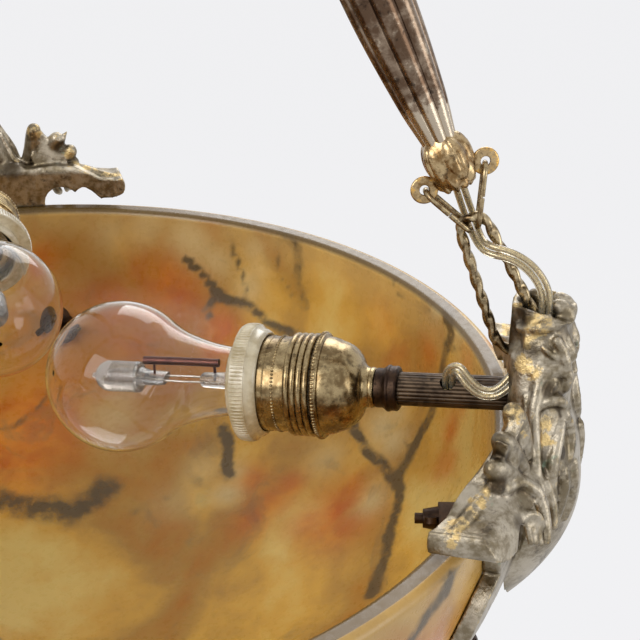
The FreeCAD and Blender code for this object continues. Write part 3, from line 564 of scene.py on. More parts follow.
def ring_tree():
    """Beads or ribs round a circle."""
    g = Grower("row round a ring", Count=("INT", 60), Radius=("VALUE", 20.0), Width=("VALUE", 0.8),
               Height=("VALUE", 0.8), Length=("VALUE", 0.8), Finish=("MATERIAL", None))
    circle = g.put("GeometryNodeCurvePrimitiveCircle", None,
                   {"Resolution": g.given("Count"), "Radius": g.given("Radius")})
    bead = g.put("GeometryNodeMeshIcoSphere", None, {"Radius": 1.0, "Subdivisions": 2})
    size = g.put("ShaderNodeCombineXYZ", None,
                 {0: g.given("Height"), 1: g.given("Width"), 2: g.given("Length")})
    bead = g.put("GeometryNodeTransform", None, {0: bead, "Scale": size})
    tangent = g.put("GeometryNodeInputTangent")
    aim = g.put("FunctionNodeAlignEulerToVector", {"axis": "Y"}, {"Vector": tangent})
    row = g.put("GeometryNodeInstanceOnPoints", None, {0: circle, "Instance": bead, "Rotation": aim})
    g.finish(row)
    return g


def beads(count, radius, height, width, length, level):
    """A row of beads round the Z axis at a level."""
    shape = GROWERS["ring"].grow([(0, 0, 0)], [], Count=count, Radius=radius, Height=height, Width=width,
                                 Length=length)
    return moved(shape, Matrix.Translation((0, 0, level)))


def swept(path, closed, wide, thick=0.0, turns=None, rounding=0.6):
    count = len(path)
    edges = [(i, (i + 1) % count) for i in range(count if closed else count - 1)]
    grower = GROWERS["flat" if thick else "wire"]
    return grower.grow(path, edges, {"turn": turns or [0.0] * count}, Width=wide, Thickness=thick, Round=rounding)


# ---- bowl -----------------------------------------------------------------------------------------
def bowl_arcs(grow=0.0):
    shoulder_at = RIM_R - BOWL_SHOULDER
    drop = BOWL_DEPTH - RIM_ROUND
    rise = (drop - BOWL_SHOULDER) ** 2 - shoulder_at ** 2
    centre_z = rise / (2 * (BOWL_SHOULDER - drop))
    base_r = centre_z + drop
    reach = math.atan2(centre_z, shoulder_at)
    small, large = BOWL_SHOULDER + grow, base_r + grow

    def polar(x, z, r, a):
        return (x + r * math.cos(a), z + r * math.sin(a) - RIM_ROUND)

    return (polar(shoulder_at, 0, small, 0), polar(shoulder_at, 0, small, -reach / 2),
            polar(shoulder_at, 0, small, -reach), polar(0, centre_z, large, (-reach - math.pi / 2) / 2),
            (0.0, centre_z - large - RIM_ROUND))


def bowl_shape():
    outer, inner = bowl_arcs(), bowl_arcs(-BOWL_WALL)
    corner = RIM_ROUND * (1 - math.sqrt(0.5))
    path = outline([outer[4], (outer[3], outer[2]), (outer[1], outer[0]),
                    ((outer[0][0] - corner, -corner), (outer[0][0] - RIM_ROUND, 0.0)),
                    (inner[0][0] + RIM_ROUND, 0.0), ((inner[0][0] + corner, -corner), inner[0]),
                    (inner[1], inner[2]), (inner[3], inner[4])], 34)
    return spun(path, 360, False)


# Veins of the seen part: half width in mm, depth, then (azimuth, millimetres down the inner wall from the rim).
VEINS = [
    (2.3, 0.95, [(57, 22), (55, 25), (53, 31), (51, 36), (50, 38), (47, 37), (45, 37), (43, 41), (41, 45), (39, 47),
                 (36, 48), (34, 51), (30, 56), (26, 63), (20, 71), (16, 77), (13, 80), (9, 80), (5, 78), (1, 78)]),
    (2.1, 0.8, [(50, 38), (52, 40), (53, 46), (52, 50)]),
    (1.9, 0.55, [(52, -9), (50, 1), (49, 11), (48, 17), (47, 27), (46, 35)]),
    (1.5, 0.5, [(41, 0), (41, 6), (40, 16), (39, 26), (37, 36), (34, 46)]),
    (3.4, 0.42, [(41, -5), (38, 1), (37, 10), (37, 20), (36, 32)]),
    (2.0, 0.6, [(14, 4), (11, 2), (9, 0), (8, -6), (6, -4), (4, 0)]),
    (2.0, 0.5, [(18, -2), (17, 1), (14, 1)]),
    (3.0, 0.72, [(6, -6), (4, -3), (2, 1), (3, 11), (3, 20), (3, 31), (3, 41), (3, 51), (2, 61), (1, 69), (0, 76)]),
    (3.2, 0.85, [(1, 76), (-2, 80), (-4, 84), (-6, 89), (-8, 94), (-13, 98), (-20, 104)]),
    (3.4, 0.85, [(43, 106), (40, 113), (38, 121), (35, 128)]),
    (2.0, 0.4, [(46, 120), (44, 114), (41, 110)]),
    (8.0, 0.6, [(96, 158), (85, 166), (72, 171), (65, 162), (64, 155)]),
    (5.0, 0.3, [(42, 137), (37, 142), (34, 151)]),
    (4.0, 0.3, [(52, 166), (49, 158), (45, 152)]),
    (1.8, 0.4, [(2, 10), (0, 6), (-4, 0), (-8, -6)]),
    (1.6, 0.35, [(6, 61), (3, 62), (2, 68)]),
]
# Orange and pale clouds: azimuth, millimetres down, radius, depth.
WARM_PATCHES = [
    (84, 115, 20, 1), (87, 142, 18, 0.9), (77, 125, 13, 0.6), (60, 38, 15, 0.95), (64, 28, 11, 0.6), (49, 55, 11, 1),
    (29, 124, 9, 0.8), (21, 116, 8, 0.8), (5, 108, 17, 1), (8, 99, 10, 0.9), (9, 122, 11, 0.8), (-4, 38, 7, 0.9),
    (-7, 50, 8, 0.95), (-5, 23, 6, 0.7), (15, 32, 9, 0.6), (-4, 5, 6, 0.9), (7, 18, 8, 0.6), (65, 67, 12, 0.5),
    (21, 129, 12, 0.7), (90, 122, 16, 0.9), (19, 20, 9, 0.5), (80, 25, 8, 0.7), (68, 46, 14, 0.6), (20, 143, 10, 0.7),
    (46, 69, 10, 0.6)]
PALE_PATCHES = [
    (56, 10, 12, 0.85), (63, 4, 11, 0.6), (69, 7, 11, 0.5), (11, 65, 9, 0.9), (10, 56, 7, 0.7), (2, 93, 8, 0.8),
    (18, 97, 8, 0.55), (0, -6, 9, 0.95), (32, 138, 7, 0.9), (34, 125, 6, 0.6), (52, 17, 9, 0.7), (45, 8, 8, 0.6),
    (31, -1, 7, 0.5), (42, 132, 10, 0.45), (42, 152, 12, 0.35), (7, -1, 7, 0.8), (7, 66, 8, 0.9), (46, 28, 8, 0.7),
    (44, 18, 7, 0.5), (65, 110, 14, 0.5)]


def unseen_marks():
    """Veins and clouds of the same kind for the part of the bowl that the picture leaves out."""
    draw = random.Random(7)
    veins, warm, pale = [], [], []
    for _ in range(26):
        azimuth, down, heading = draw.uniform(106, 330), draw.uniform(0, 190), draw.uniform(0, 6.3)
        stroke = []
        for _ in range(draw.randint(6, 16)):
            stroke.append((azimuth, down))
            heading += draw.uniform(-0.5, 0.5)
            azimuth += 2.4 * math.cos(heading)
            down += 7.0 * math.sin(heading)
        veins.append((draw.uniform(1.5, 3.4), draw.uniform(0.35, 0.9), stroke))
    for _ in range(34):
        patch = (draw.uniform(104, 332), draw.uniform(0, 200), draw.uniform(9, 20), draw.uniform(0.5, 1))
        (warm if draw.random() < 0.6 else pale).append(patch)
    return veins, warm, pale


def inner_profile():
    inner = bowl_arcs(-BOWL_WALL)
    path = outline([inner[0], (inner[1], inner[2]), (inner[3], inner[4])], 120)
    run = np.concatenate([[0], np.cumsum([math.dist(a, b) for a, b in zip(path, path[1:])])])
    return np.array(path), run


def stone_point(azimuth, down, profile, run):
    """Point on the inner wall, or on the flat of the rim where down is below zero."""
    if down < 0:
        radius, height = profile[0, 0] - down, 0.0
    else:
        radius, height = (np.interp(down, run, profile[:, i]) for i in (0, 1))
    a = math.radians(azimuth)
    return np.array((radius * math.cos(a), radius * math.sin(a), height))


def stone_marks(obj):
    """Vein, warm and pale values on the stone's points, from strokes in azimuth and distance down the wall."""
    mesh = obj.data
    count = len(mesh.vertices)
    place, normal = points_of(mesh), normals_of(mesh)
    place[:, 2] += DROP
    outside = (normal[:, :2] * place[:, :2]).sum(axis=1) / (np.hypot(place[:, 0], place[:, 1]) + 1e-6) > 0.02
    outside |= normal[:, 2] < -0.5
    place[outside] -= normal[outside] * BOWL_WALL
    height = place[:, 2].copy()
    place += 1.4 * np.sin(place[:, [1, 2, 0]] / 9.0) + 0.8 * np.sin(place[:, [2, 0, 1]] / 4.0)
    profile = inner_profile()
    more_veins, more_warm, more_pale = unseen_marks()
    vein = np.zeros(count)
    for width, depth, stroke in VEINS + more_veins:
        line = [stone_point(*p, *profile) for p in stroke]
        for a, b in zip(line, line[1:]):
            run = b - a
            t = np.clip(((place - a) @ run) / max(run @ run, 1e-6), 0, 1)
            gap = np.linalg.norm(place - a - t[:, None] * run, axis=1)
            vein = np.maximum(vein, depth * np.exp(-(gap / (width * 1.25)) ** 2))
    values = {"vein": vein}
    for label, patches in (("warm", WARM_PATCHES + more_warm), ("pale", PALE_PATCHES + more_pale)):
        value = np.zeros(count)
        for azimuth, down, size, depth in patches:
            gap = np.linalg.norm(place - stone_point(azimuth, down, *profile), axis=1)
            value = np.maximum(value, depth * np.exp(-(gap / (size * 1.2)) ** 2))
        values[label] = value
    values["pale"] = np.maximum(values["pale"], np.clip((height + 24) / 60, 0, 0.3))
    # rim marks the top of the rim, where the stone gets painted shade.
    values["rim"] = np.clip((height + 2.5) / 1.5, 0, 1)
    for label, value in values.items():
        mark(mesh, label, value)


# ---- lamp arm and lampholder ------------------------------------------------------------------------
def arm_shape():
    """Reeded tube along Z and the nipple that joins it to the bracket."""
    def reeded(radius, height, angle):
        return radius + 0.32 * abs(math.cos(ARM_REEDS * angle / 2)) ** 0.8 - 0.30

    path = divided(outline([(ARM_BORE, 4.8), (6.1, 4.8), (ARM_R, 5.6), (ARM_R, 54.6), (ARM_BORE, 54.6)]), 3.0)
    tube = spun(path, ARM_REEDS * 8, True, reeded)
    nipple = turned([(3.0, -7), (5.0, -7), (5.0, 4.9), (3.0, 4.9)], 48)
    return tube, nipple


def drilled(obj, place, radius, length):
    """Cut a round hole into a finished object along a placed Z axis."""
    bit = bpy.data.objects.new("bit", blank_mesh("bit", *moved(turned([(0, 0), (radius, 0), (radius, length),
                                                                        (0, length)], 40), place)))
    for vertex in bit.data.vertices:
        vertex.co *= MM
    outward(bit.data, 1e-7)
    bpy.context.scene.collection.objects.link(bit)
    cut = obj.modifiers.new("drill", "BOOLEAN")
    cut.operation, cut.solver, cut.object = "DIFFERENCE", "EXACT", bit
    bpy.context.view_layer.update()
    graph = bpy.context.evaluated_depsgraph_get()
    mesh = bpy.data.meshes.new_from_object(obj.evaluated_get(graph))
    obj.modifiers.clear()
    old = obj.data
    obj.data = mesh
    bpy.data.meshes.remove(old)
    bpy.data.objects.remove(bit)
    mesh.name = obj.name
    mesh.shade_smooth()
    mesh.set_sharp_from_angle(angle=math.radians(40))


def make_arms():
    tube, nipple = arm_shape()
    hole_tilt = math.radians(WIRE_HOLE_TILT)
    aim = Vector((math.cos(hole_tilt), -math.sin(hole_tilt), 0)).to_track_quat("Z", "X").to_matrix().to_4x4()
    hole = ARM_PLACE @ Matrix.Translation((0, 0, WIRE_HOLE_AT)) @ aim
    for side, angle in SIDES.items():
        obj = piece(f"reeded_arm_{side}", moved(tube, side_place(angle) @ ARM_PLACE), "tube", "pendant",
                    "dark_metal", [f"arm_tube_{side}"], sharp=60)
        drilled(obj, side_place(angle) @ hole, WIRE_HOLE_R, 12)
        piece(f"arm_nipple_{side}", moved(nipple, side_place(angle) @ ARM_PLACE), "dark", "pendant", "dark_metal")
    collar = turned([(6.4, 46.2), (7.6, 46.2), ((8.4, 46.8), (8.5, 47.8)), (8.5, 49.4), ((8.9, 50.2), (8.5, 51.0)),
                     (7.5, 52.4), (7.5, 54.9), (6.4, 54.9)], 72)
    per_side("arm_collar_look", moved(collar, ARM_PLACE), "dark", "pendant", "cast_metal", "arm_collar")


def make_holders():
    cap = turned([(4.3, 55.1), (6.4, 55.1), ((7.4, 55.6), (7.5, 57.4)), ((8.2, 59.0), (10.2, 60.2)),
                  ((14.6, 63.2), (17.3, 68.4)), ((18.4, 71.2), (18.8, 73.8)), (19.3, 74.0),
                  ((20.0, 74.4), (20.2, 75.2)), ((20.0, 76.4), (19.3, 76.8)), (18.4, 77.0),
                  ((16.4, 67.4), (12.4, 63.6)), (6.0, 61.4), (4.3, 61.0)], 128)
    beading = beads(90, 20.0, 0.75, 0.66, 0.9, 75.6)
    per_side("holder_cap_look", moved(joined(cap, beading), ARM_PLACE), "holder", "pendant", "dark_metal",
             "holder_cap")
    points = [(17.4, 77.4), (18.4, 77.4)]
    for i in range(4):
        foot = 77.6 + 2.4 * i
        points.append(((19.9, foot + 1.2), (18.5, foot + 2.4)))
    points += [(18.3, 88.6), (18.3, 95.0), ((18.6, 95.3), (18.3, 95.6)), (18.3, 103.5), (17.4, 103.5)]
    shell = turned(points, 128, facets=8)
    row = beads(84, 18.35, 0.42, 0.5, 0.62, 91.6)
    per_side("holder_shell_look", moved(joined(shell, row), ARM_PLACE), "holder", "pendant", "dark_metal",
             "holder_shell")
    core = turned([(0, 68), (11.5, 68), (16.6, 76), (17.2, 79), (17.2, 100.6), (16.8, 101), (14.2, 101), (13.9, 100.6),
                   (13.9, 84), (0, 84)], 72)
    per_side("holder_core_look", moved(core, ARM_PLACE), "bisque", "pendant", "cream_ceramic", "holder_core")
    keep_node("holder_contacts", "cap")


def make_rings():
    ring = turned([(18.7, 97.8), (19.4, 97.6), ((20.2, 98.2), (20.9, 99.4)), ((21.6, 100.8), (22.1, 101.4)),
                   (22.4, 101.6), (22.4, 106.8), ((22.2, 107.3), (21.4, 107.5)), ((19.0, 107.3), (17.6, 107.8)),
                   ((16.9, 109.8), (16.0, 110.3)), ((15.2, 110.4), (15.0, 109.6)), (15.0, 104.1), (18.7, 104.1)], 144)
    ribs = beads(96, 22.35, 0.62, 0.46, 2.7, 104.2)
    per_side("shade_ring_look", moved(joined(ring, ribs), ARM_PLACE), "porcelain", "ring", "porcelain", "shade_ring")


# ---- bulbs ----------------------------------------------------------------------------------------
def bulb_path(wall):
    ball, centre, meet = BULB_R - wall, BULB_CENTRE, math.radians(50)
    join = (ball * math.sin(meet), centre - ball * math.cos(meet))
    return outline([(13.0 - wall, 105.0), ((13.9 - wall, 116), (16.9 - wall, 127.5)), ((19.6 - wall, 134), join),
                    ((ball * math.sin(math.radians(115)), centre - ball * math.cos(math.radians(115))),
                     (0.0, centre + ball))], 30)


def make_bulbs():
    outer, inner = bulb_path(0), bulb_path(GLASS_WALL)
    glass = spun(outer + inner[-2::-1] + [outer[0]], 128, False)
    per_side("bulb_glass_look", moved(glass, ARM_PLACE), "glass", "bulb", "bulb_glass", "bulb_glass", sharp=60)
    points = [(0, 85.9), (4.4, 85.9), (4.8, 87.6), (9.5, 88.6), (12.2, 90.6)]
    for i in range(4):
        foot = 91.0 + 3.2 * i
        points.append(((13.2, foot + 1.1), (12.3, foot + 2.2)))
        points.append((12.2, foot + 3.0))
    points += [(13.0, 104.2), (13.0, 104.9), (0, 104.9)]
    cap = turned(points, 72, facets=6)
    per_side("bulb_cap_look", moved(cap, ARM_PLACE), "cap", "bulb", "cap_metal", "bulb_cap")
    per_side("bulb_inside", moved(inner_lamp(), ARM_PLACE), "pinch", "bulb", "capsule_glass", "bulb_capsule")
    per_side("bulb_wires", moved(inner_wires(), ARM_PLACE), "lead", "bulb", "cap_metal")
    per_side("bulb_shield", moved(inner_shield(), ARM_PLACE), "shield", "bulb", "dark_metal")


def inner_lamp():
    outer = [(5.9, 150.4), ((6.2, 151.4), (6.2, 153)), (6.2, 163), ((4.38, 167.38), (1.2, 169.1)), (0.9, 170.6),
             (0, 170.9)]
    skin = spun([(0, 150.2)] + outline(outer, 8), 48, False)
    hollow = spun([(0, 151.6)] + outline([(5.2, 151.8), (5.2, 163), ((3.8, 166.6), (0, 168.2))], 8), 48, False)
    pinch = spun([(0, 139.6), (4.4, 139.6), (4.9, 141), (4.9, 147.5), (5.6, 150.6), (0, 150.6)], 32, False,
                 lambda r, z, a: r / math.sqrt(math.cos(a) ** 2 * (1 + 5.0 * min(1, (152 - z) / 6)) + math.sin(a) ** 2))
    stem = turned([(0, 105.1), (9.5, 105.1), ((5.4, 108.4), (3.4, 112)), (3.0, 123.4), ((2.4, 124.8), (0, 125.2))], 48)
    return joined(skin, (hollow[0], [f[::-1] for f in hollow[1]]), pinch, stem)


def inner_wires():
    shapes = []
    for y in (-2.0, 2.0):
        path = [(0, y, 116), (0, y, 124), (0, y * 1.15, 131), (0, y, 139), (0, y, 146), (0, y * 0.8, 151)]
        shapes.append(swept(path, False, 0.42))
    coil = [(0.55 * math.cos(i * 0.9), -1.6 + 0.55 * math.sin(i * 0.9), 153 + i * 0.09) for i in range(110)]
    shapes.append(swept(coil, False, 0.12))
    shapes.append(swept([(0, 1.6, 150), (0, 1.7, 158), (0, 1.2, 163), (0, -1.2, 163.4)], False, 0.22))
    return joined(*shapes)


def inner_shield():
    rod = swept([(7.6, 0, 117), (7.7, 0, 128), (7.7, 0, 139), (7.6, 0, 148)], False, 1.6)
    foot = swept([(0, 0, 119.1), (3, 0, 119.1), (7.4, 0, 119.1)], False, 0.6)
    band = swept([(6.6, 0, 144), (2.0, 0, 144.4)], False, 0.5)
    return joined(rod, foot, band)


# ---- rods, buds and links ---------------------------------------------------------------------------
ROD_LEVELS = ((18, 5.3), (34, 7.6), (70, 10.2), (130, 10.7), (240, 8.6), (ROD_LENGTH - 18, 5.3))


def rod_radius(z):
    """Smooth rod radius through its levels."""
    levels = (ROD_LEVELS[0],) + ROD_LEVELS + (ROD_LEVELS[-1],)
    for i in range(1, len(levels) - 2):
        (z0, r0), (z1, r1), (z2, r2), (z3, r3) = levels[i - 1:i + 3]
        if z <= z2 or i == len(levels) - 3:
            t = min(max((z - z1) / (z2 - z1), 0), 1)
            m1 = (r2 - r0) / max(z2 - z0, 1) * (z2 - z1)
            m2 = (r3 - r1) / max(z3 - z1, 1) * (z2 - z1)
            return ((2 * t ** 3 - 3 * t ** 2 + 1) * r1 + (t ** 3 - 2 * t ** 2 + t) * m1
                    + (-2 * t ** 3 + 3 * t ** 2) * r2 + (t ** 3 - t ** 2) * m2)
    return levels[-1][1]


def rod_shape():
    flutes = 8

    def fluted(radius, height, angle):
        wave = abs(math.sin(flutes * angle / 2))
        return radius * (0.985 + 0.17 * wave ** 0.75)

    heights = np.linspace(18, ROD_LENGTH - 18, 90)
    path = [(3.8, 18.0)] + [(rod_radius(z), float(z)) for z in heights] + [(3.8, ROD_LENGTH - 18)]
    return spun(path, flutes * 14, True, fluted)


def ellipsoid(centre, sizes, turn=0.0, segments=24):
    ball = spun([(math.sin(math.pi * i / 14), -math.cos(math.pi * i / 14)) for i in range(15)], segments, False)
    place = (Matrix.Rotation(turn, 4, "Z") @ Matrix.Translation(centre) @ Matrix.Diagonal((*sizes, 1.0)))
    return moved(ball, place)


BALL = spun([(math.sin(math.pi * i / 8), -math.cos(math.pi * i / 8)) for i in range(9)], 14, False)


def melted(shapes, voxel, rounds, name="melt"):
    """Many overlapping closed shapes melted into one skin."""
    points, faces = joined(*shapes)
    obj = bpy.data.objects.new(name, outward(blank_mesh(name, points, faces), 1e-4))
    bpy.context.scene.collection.objects.link(obj)
    skin = obj.modifiers.new("skin", "REMESH")
    skin.mode, skin.voxel_size, skin.adaptivity = "VOXEL", voxel, 0.0
    ease = obj.modifiers.new("ease", "SMOOTH")
    ease.factor, ease.iterations = 0.5, rounds
    bpy.context.view_layer.update()
    mesh = bpy.data.meshes.new_from_object(obj.evaluated_get(bpy.context.evaluated_depsgraph_get()))
    shape = [tuple(v.co) for v in mesh.vertices], [list(p.vertices) for p in mesh.polygons]
    bpy.data.objects.remove(obj)
    bpy.data.meshes.remove(mesh)
    return shape


def lug_place(side):
    return (Matrix.Rotation(math.radians(LUG_TURN + (0 if side > 0 else 180)), 4, "Z")
            @ Matrix.Translation((LUG_OFFSET, 0, LUG_UP)) @ Matrix.Rotation(math.radians(90), 4, "X"))


def bud_shape():
    """Leafy knop with two rows of lobes and two pierced lugs."""
    shapes = [turned([(0, 1.5), (4.6, 1.5), ((7.4, 5), (7.9, 10)), ((7.3, 16), (5.4, 20)), (0, 20)], 40)]
    for i in range(5):
        turn = 2 * math.pi * i / 5 + 0.35
        shapes.append(ellipsoid((4.9, 0, 11.2), (4.5, 4.7, 8.4), turn))
        shapes.append(ellipsoid((4.2, 0, 5.6), (4.2, 3.2, 5.2), turn + math.pi / 5))
        shapes.append(ellipsoid((5.5, 0, 2.6), (1.5, 1.7, 2.4), turn))
        shapes.append(ellipsoid((4.6, 0, 1.8), (1.3, 1.3, 2.0), turn + math.pi / 5))
    body = melted(shapes, 0.42, 2)
    centre = np.array([p for p in body[0]])
    angle = np.arctan2(centre[:, 1], centre[:, 0]) - 0.35
    lobe = (angle / (2 * math.pi / 5)) % 1.0
    rib = np.minimum(lobe, 1 - lobe) * 2 * math.pi / 5 * np.hypot(centre[:, 0], centre[:, 1])
    groove = np.exp(-((rib - 0.55) / 0.32) ** 2) * np.clip((centre[:, 2] - 3) / 5, 0, 1) * 0.35
    scale = 1 - groove / np.maximum(np.hypot(centre[:, 0], centre[:, 1]), 1)
    centre[:, 0] *= scale
    centre[:, 1] *= scale
    lug = turned([(1.75, -0.5), ((1.95, -0.66), (2.2, -0.66)), (4.4, -0.66), ((4.95, 0), (4.4, 0.66)), (2.2, 0.66),
                  ((1.95, 0.66), (1.75, 0.5))], 40, facets=4)
    web = moved(ellipsoid((0, 0, 0), (3.4, 2.6, 0.62)), Matrix.Translation((-5.0, 0.6, 0)))
    lugs = [moved(joined(lug, web), lug_place(side)) for side in (-1, 1)]
    return joined(([tuple(p) for p in centre], body[1]), *lugs)


UPSIDE_DOWN = (Matrix.Translation((0, 0, ROD_LENGTH / 2)) @ Matrix.Rotation(math.pi, 4, "X")
               @ Matrix.Translation((0, 0, -ROD_LENGTH / 2)))


def rod_point(along, aside=0.0, rimwise=0.0):
    foot = Vector((ROD_FOOT[0], 0, ROD_FOOT[1]))
    return foot + ROD_AXIS * along + ROD_SIDE * aside + Vector((0, rimwise, 0))


def lug_centre(side, upper):
    turn = math.radians(-LUG_TURN if upper else LUG_TURN)
    height = ROD_LENGTH - LUG_UP if upper else LUG_UP
    reach = side * LUG_OFFSET
    return rod_point(height, reach * math.cos(turn), reach * math.sin(turn))


def ear_centre():
    return rod_point((ROD_FOOT[0] - EAR_CONTACT) / math.sin(TILT) + 6.0)


def wire_link(hole, foot, lean_sign):
    """Oblong wire link with its open butt joint half-way along one side."""
    along = (foot - hole).normalized()
    head = hole + along * 0.6
    half = LINK_PITCH / 2
    across = Vector((0, 1, 0)) - along * along.y
    lean = ROD_SIDE - along * ROD_SIDE.dot(along)
    turn = math.radians(LUG_TURN / 2)
    wide = (across * math.cos(turn) + lean * (math.sin(turn) * lean_sign)).normalized()
    middle = (head + foot) * 0.5
    path = [middle - wide * half - along * 0.35]
    for centre, start in ((head + along * half, math.pi), (foot - along * half, 0.0)):
        for i in range(17):
            a = start - math.pi * i / 16
            path.append(centre + wide * (half * math.cos(a)) - along * (half * math.sin(a)) * (1 if start else 1))
    path.append(middle - wide * half + along * 0.35)
    return swept(path, False, WIRE_R)


def wire_links(upper):
    centre, reach = (ear_centre(), EAR_R - EAR_WIRE) if upper else (LINK_TOP, LINK_TOP_R - BAR_WIDE / 2)
    links = []
    for side, angle in ((-1, -92.0), (1, -42.0)) if upper else ((-1, 165.0), (1, 68.0)):
        a = math.radians(angle)
        foot = centre + Vector((math.cos(a), 0, math.sin(a))) * (reach - WIRE_R - 0.5)
        links.append(wire_link(lug_centre(side, upper), foot, 1 if upper else -1))
    return joined(*links)


def egg_path(count):
    """Points spaced evenly round the twisted link's egg-shaped centre line."""
    line = LINK_TOP - LINK_LOW
    span = line.length
    lean = math.atan2(line.z, line.x)
    spread = math.acos((LINK_LOW_R - LINK_TOP_R) / span)
    side = math.sqrt(span ** 2 - (LINK_LOW_R - LINK_TOP_R) ** 2)
    runs = [2 * spread * LINK_TOP_R, side, 2 * (math.pi - spread) * LINK_LOW_R, side]
    total = sum(runs)

    def polar(centre, radius, angle):
        return centre + Vector((math.cos(angle), 0, math.sin(angle))) * radius

    path = []
    for i in range(count):
        s = total * i / count
        if s < runs[0]:
            path.append(polar(LINK_TOP, LINK_TOP_R, lean - spread + s / LINK_TOP_R))
            continue
        s -= runs[0]
        if s < side:
            start, end = polar(LINK_TOP, LINK_TOP_R, lean + spread), polar(LINK_LOW, LINK_LOW_R, lean + spread)
            path.append(start.lerp(end, s / side))
            continue
        s -= side
        if s < runs[2]:
            path.append(polar(LINK_LOW, LINK_LOW_R, lean + spread + s / LINK_LOW_R))
            continue
        s -= runs[2]
        start, end = polar(LINK_LOW, LINK_LOW_R, lean - spread), polar(LINK_TOP, LINK_TOP_R, lean - spread)
        path.append(start.lerp(end, s / side))
    return path


def make_suspension():
    rod = moved(rod_shape(), ROD_PLACE)
    for side, angle in SIDES.items():
        obj = piece(f"fluted_rod_{side}", moved(rod, side_place(angle)), "rod", "pendant", "cast_metal",
                    [f"rod_{side}"], sharp=50)
        # Worn metal and a painted highlight along the flute ridges; patina and painted shade down the flutes.
        metal_marks(obj, 1.0)
    bud = bud_shape()
    for name, place, node in (("rod_buds_foot", ROD_PLACE, "rod_buds_lower"),
                              ("rod_buds_head", ROD_PLACE @ UPSIDE_DOWN, "rod_buds_upper")):
        obj = piece(name, on_all_sides(moved(bud, place)), "bud", "pendant", "cast_metal", [node], sharp=50)
        metal_marks(obj, 0.5)
    count, twists = 320, 8
    turns = [2 * math.pi * twists * i / count for i in range(count)]
    link = swept(egg_path(count), True, BAR_WIDE * 0.98, BAR_THICK * 0.98, turns, 1.4)
    per_side("twisted_link_look", link, "link", "pendant", "dark_metal", "twisted_link", sharp=35)
    for name, upper, node in (("wire_links_foot", False, "wire_links_lower"),
                              ("wire_links_head", True, "wire_links_upper")):
        piece(name, on_all_sides(wire_links(upper)), "wire", "pendant", "dark_metal", [node])


def metal_marks(obj, gilt_base, spots=(), shade_spots=()):
    """Gilt on what stands out, and patina with painted shade in the hollows and at the shade spots, from how each point
    sits against its neighbours.
    """
    mesh = obj.data
    count = len(mesh.vertices)
    place, normal = points_of(mesh), normals_of(mesh)
    edge = np.empty(len(mesh.edges) * 2, dtype=np.int64)
    mesh.edges.foreach_get("vertices", edge)
    edge = edge.reshape(-1, 2)
    degree = np.bincount(edge.ravel(), minlength=count)[:, None].clip(1)
    soft = place.copy()
    for _ in range(12):
        total = np.stack([np.bincount(edge[:, 0], soft[edge[:, 1], i], count)
                          + np.bincount(edge[:, 1], soft[edge[:, 0], i], count) for i in range(3)], axis=1)
        soft = total / degree
    proud = ((place - soft) * normal).sum(axis=1)
    proud = np.clip(proud / max(np.percentile(np.abs(proud), 90), 1e-6), -1.5, 1.5)
    gilt = gilt_base * np.clip(proud * 0.6 + 0.1, 0, 1)
    # hollow: patina and painted shade, deeper where a point sits below its neighbours.
    hollow = np.clip(-proud * 0.8 - 0.1, 0, 1)
    for target, marks in ((gilt, spots), (hollow, shade_spots)):
        for x, y, z, size, depth in marks:
            gap = np.linalg.norm(place - np.array((x, y, z)), axis=1)
            np.maximum(target, depth * np.exp(-(gap / size) ** 4), out=target)
    mark(mesh, "gilt", gilt)
    mark(mesh, "hollow", hollow)


# ---- flex -----------------------------------------------------------------------------------------
FLEX_R, STRAND_GAP, CORE_R = 1.25, 0.09, 0.62
FLEX_ROUTE = [Vector(p) for p in (
    (179.0, 0.2, 112.0), (181.6, 1.4, 104.6), (183.0, 7.2, 96.4), (185.6, 6.4, 90.0), (189.4, 0.2, 86.2),
    (193.2, -5.0, 85.8), (201.4, -5.0, 84.6), (208.2, -5.0, 80.8), (213.4, -4.9, 74.0), (214.9, -4.6, 66.0),
    (213.8, -4.4, 57.0), (210.8, -5.0, 47.4), (206.2, -7.4, 39.6), (200.8, -9.9, 32.2), (194.6, -10.6, 31.2),
    (189.2, -10.2, 35.0), (185.2, -8.2, 39.4), (181.8, -5.6, 36.6), (180.9, -3.2, 31.0), (181.0, -1.2, 26.8))]


def strand_points(side):
    """Control points of one of the two strands, set off from the route in the bracket's own plane."""
    last = len(FLEX_ROUTE) - 1
    points = []
    for i, point in enumerate(FLEX_ROUTE):
        before = (point - FLEX_ROUTE[i - 1] if i else FLEX_ROUTE[1] - point).normalized()
        after = (FLEX_ROUTE[i + 1] - point if i < last else point - FLEX_ROUTE[i - 1]).normalized()
        aside = (before + after).cross(Vector((0, 1, 0))).normalized()
        mitre = 1 / math.cos(before.angle(after) / 2)
        points.append(point + aside * (side * (FLEX_R + STRAND_GAP) * mitre))
    return points


def smooth_curve(name, points, radius, finish):
    curve = bpy.data.curves.new(name, "CURVE")
    curve.dimensions = "3D"
    spline = curve.splines.new("NURBS")
    spline.points.add(len(points) - 1)
    for slot, point in zip(spline.points, points):
        slot.co = (*(point * MM), 1.0)
    spline.order_u = 3
    spline.use_endpoint_u = True
    spline.resolution_u = 10
    curve.bevel_depth = radius * MM
    curve.bevel_resolution = 5
    curve.use_fill_caps = True
    curve.materials.append(FINISHES[finish])
    obj = bpy.data.objects.new(name, curve)
    bpy.context.scene.collection.objects.link(obj)
    return obj, spline.calc_length()


def make_flex():
    for side, angle in SIDES.items():
        place = side_place(angle)
        for label, hand in (("inner", -1), ("outer", 1)):
            points = [place @ p for p in strand_points(hand)]
            obj, length = smooth_curve(f"flex_{label}_{side}", points, FLEX_R, "sheath")
            core, _ = smooth_curve(f"flex_{label}_core_{side}", points, CORE_R, "copper")
            for thing in (obj, core):
                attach(thing, "pendant")
                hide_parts(f"flex_{side}")
            tuple(points[0] * MM)


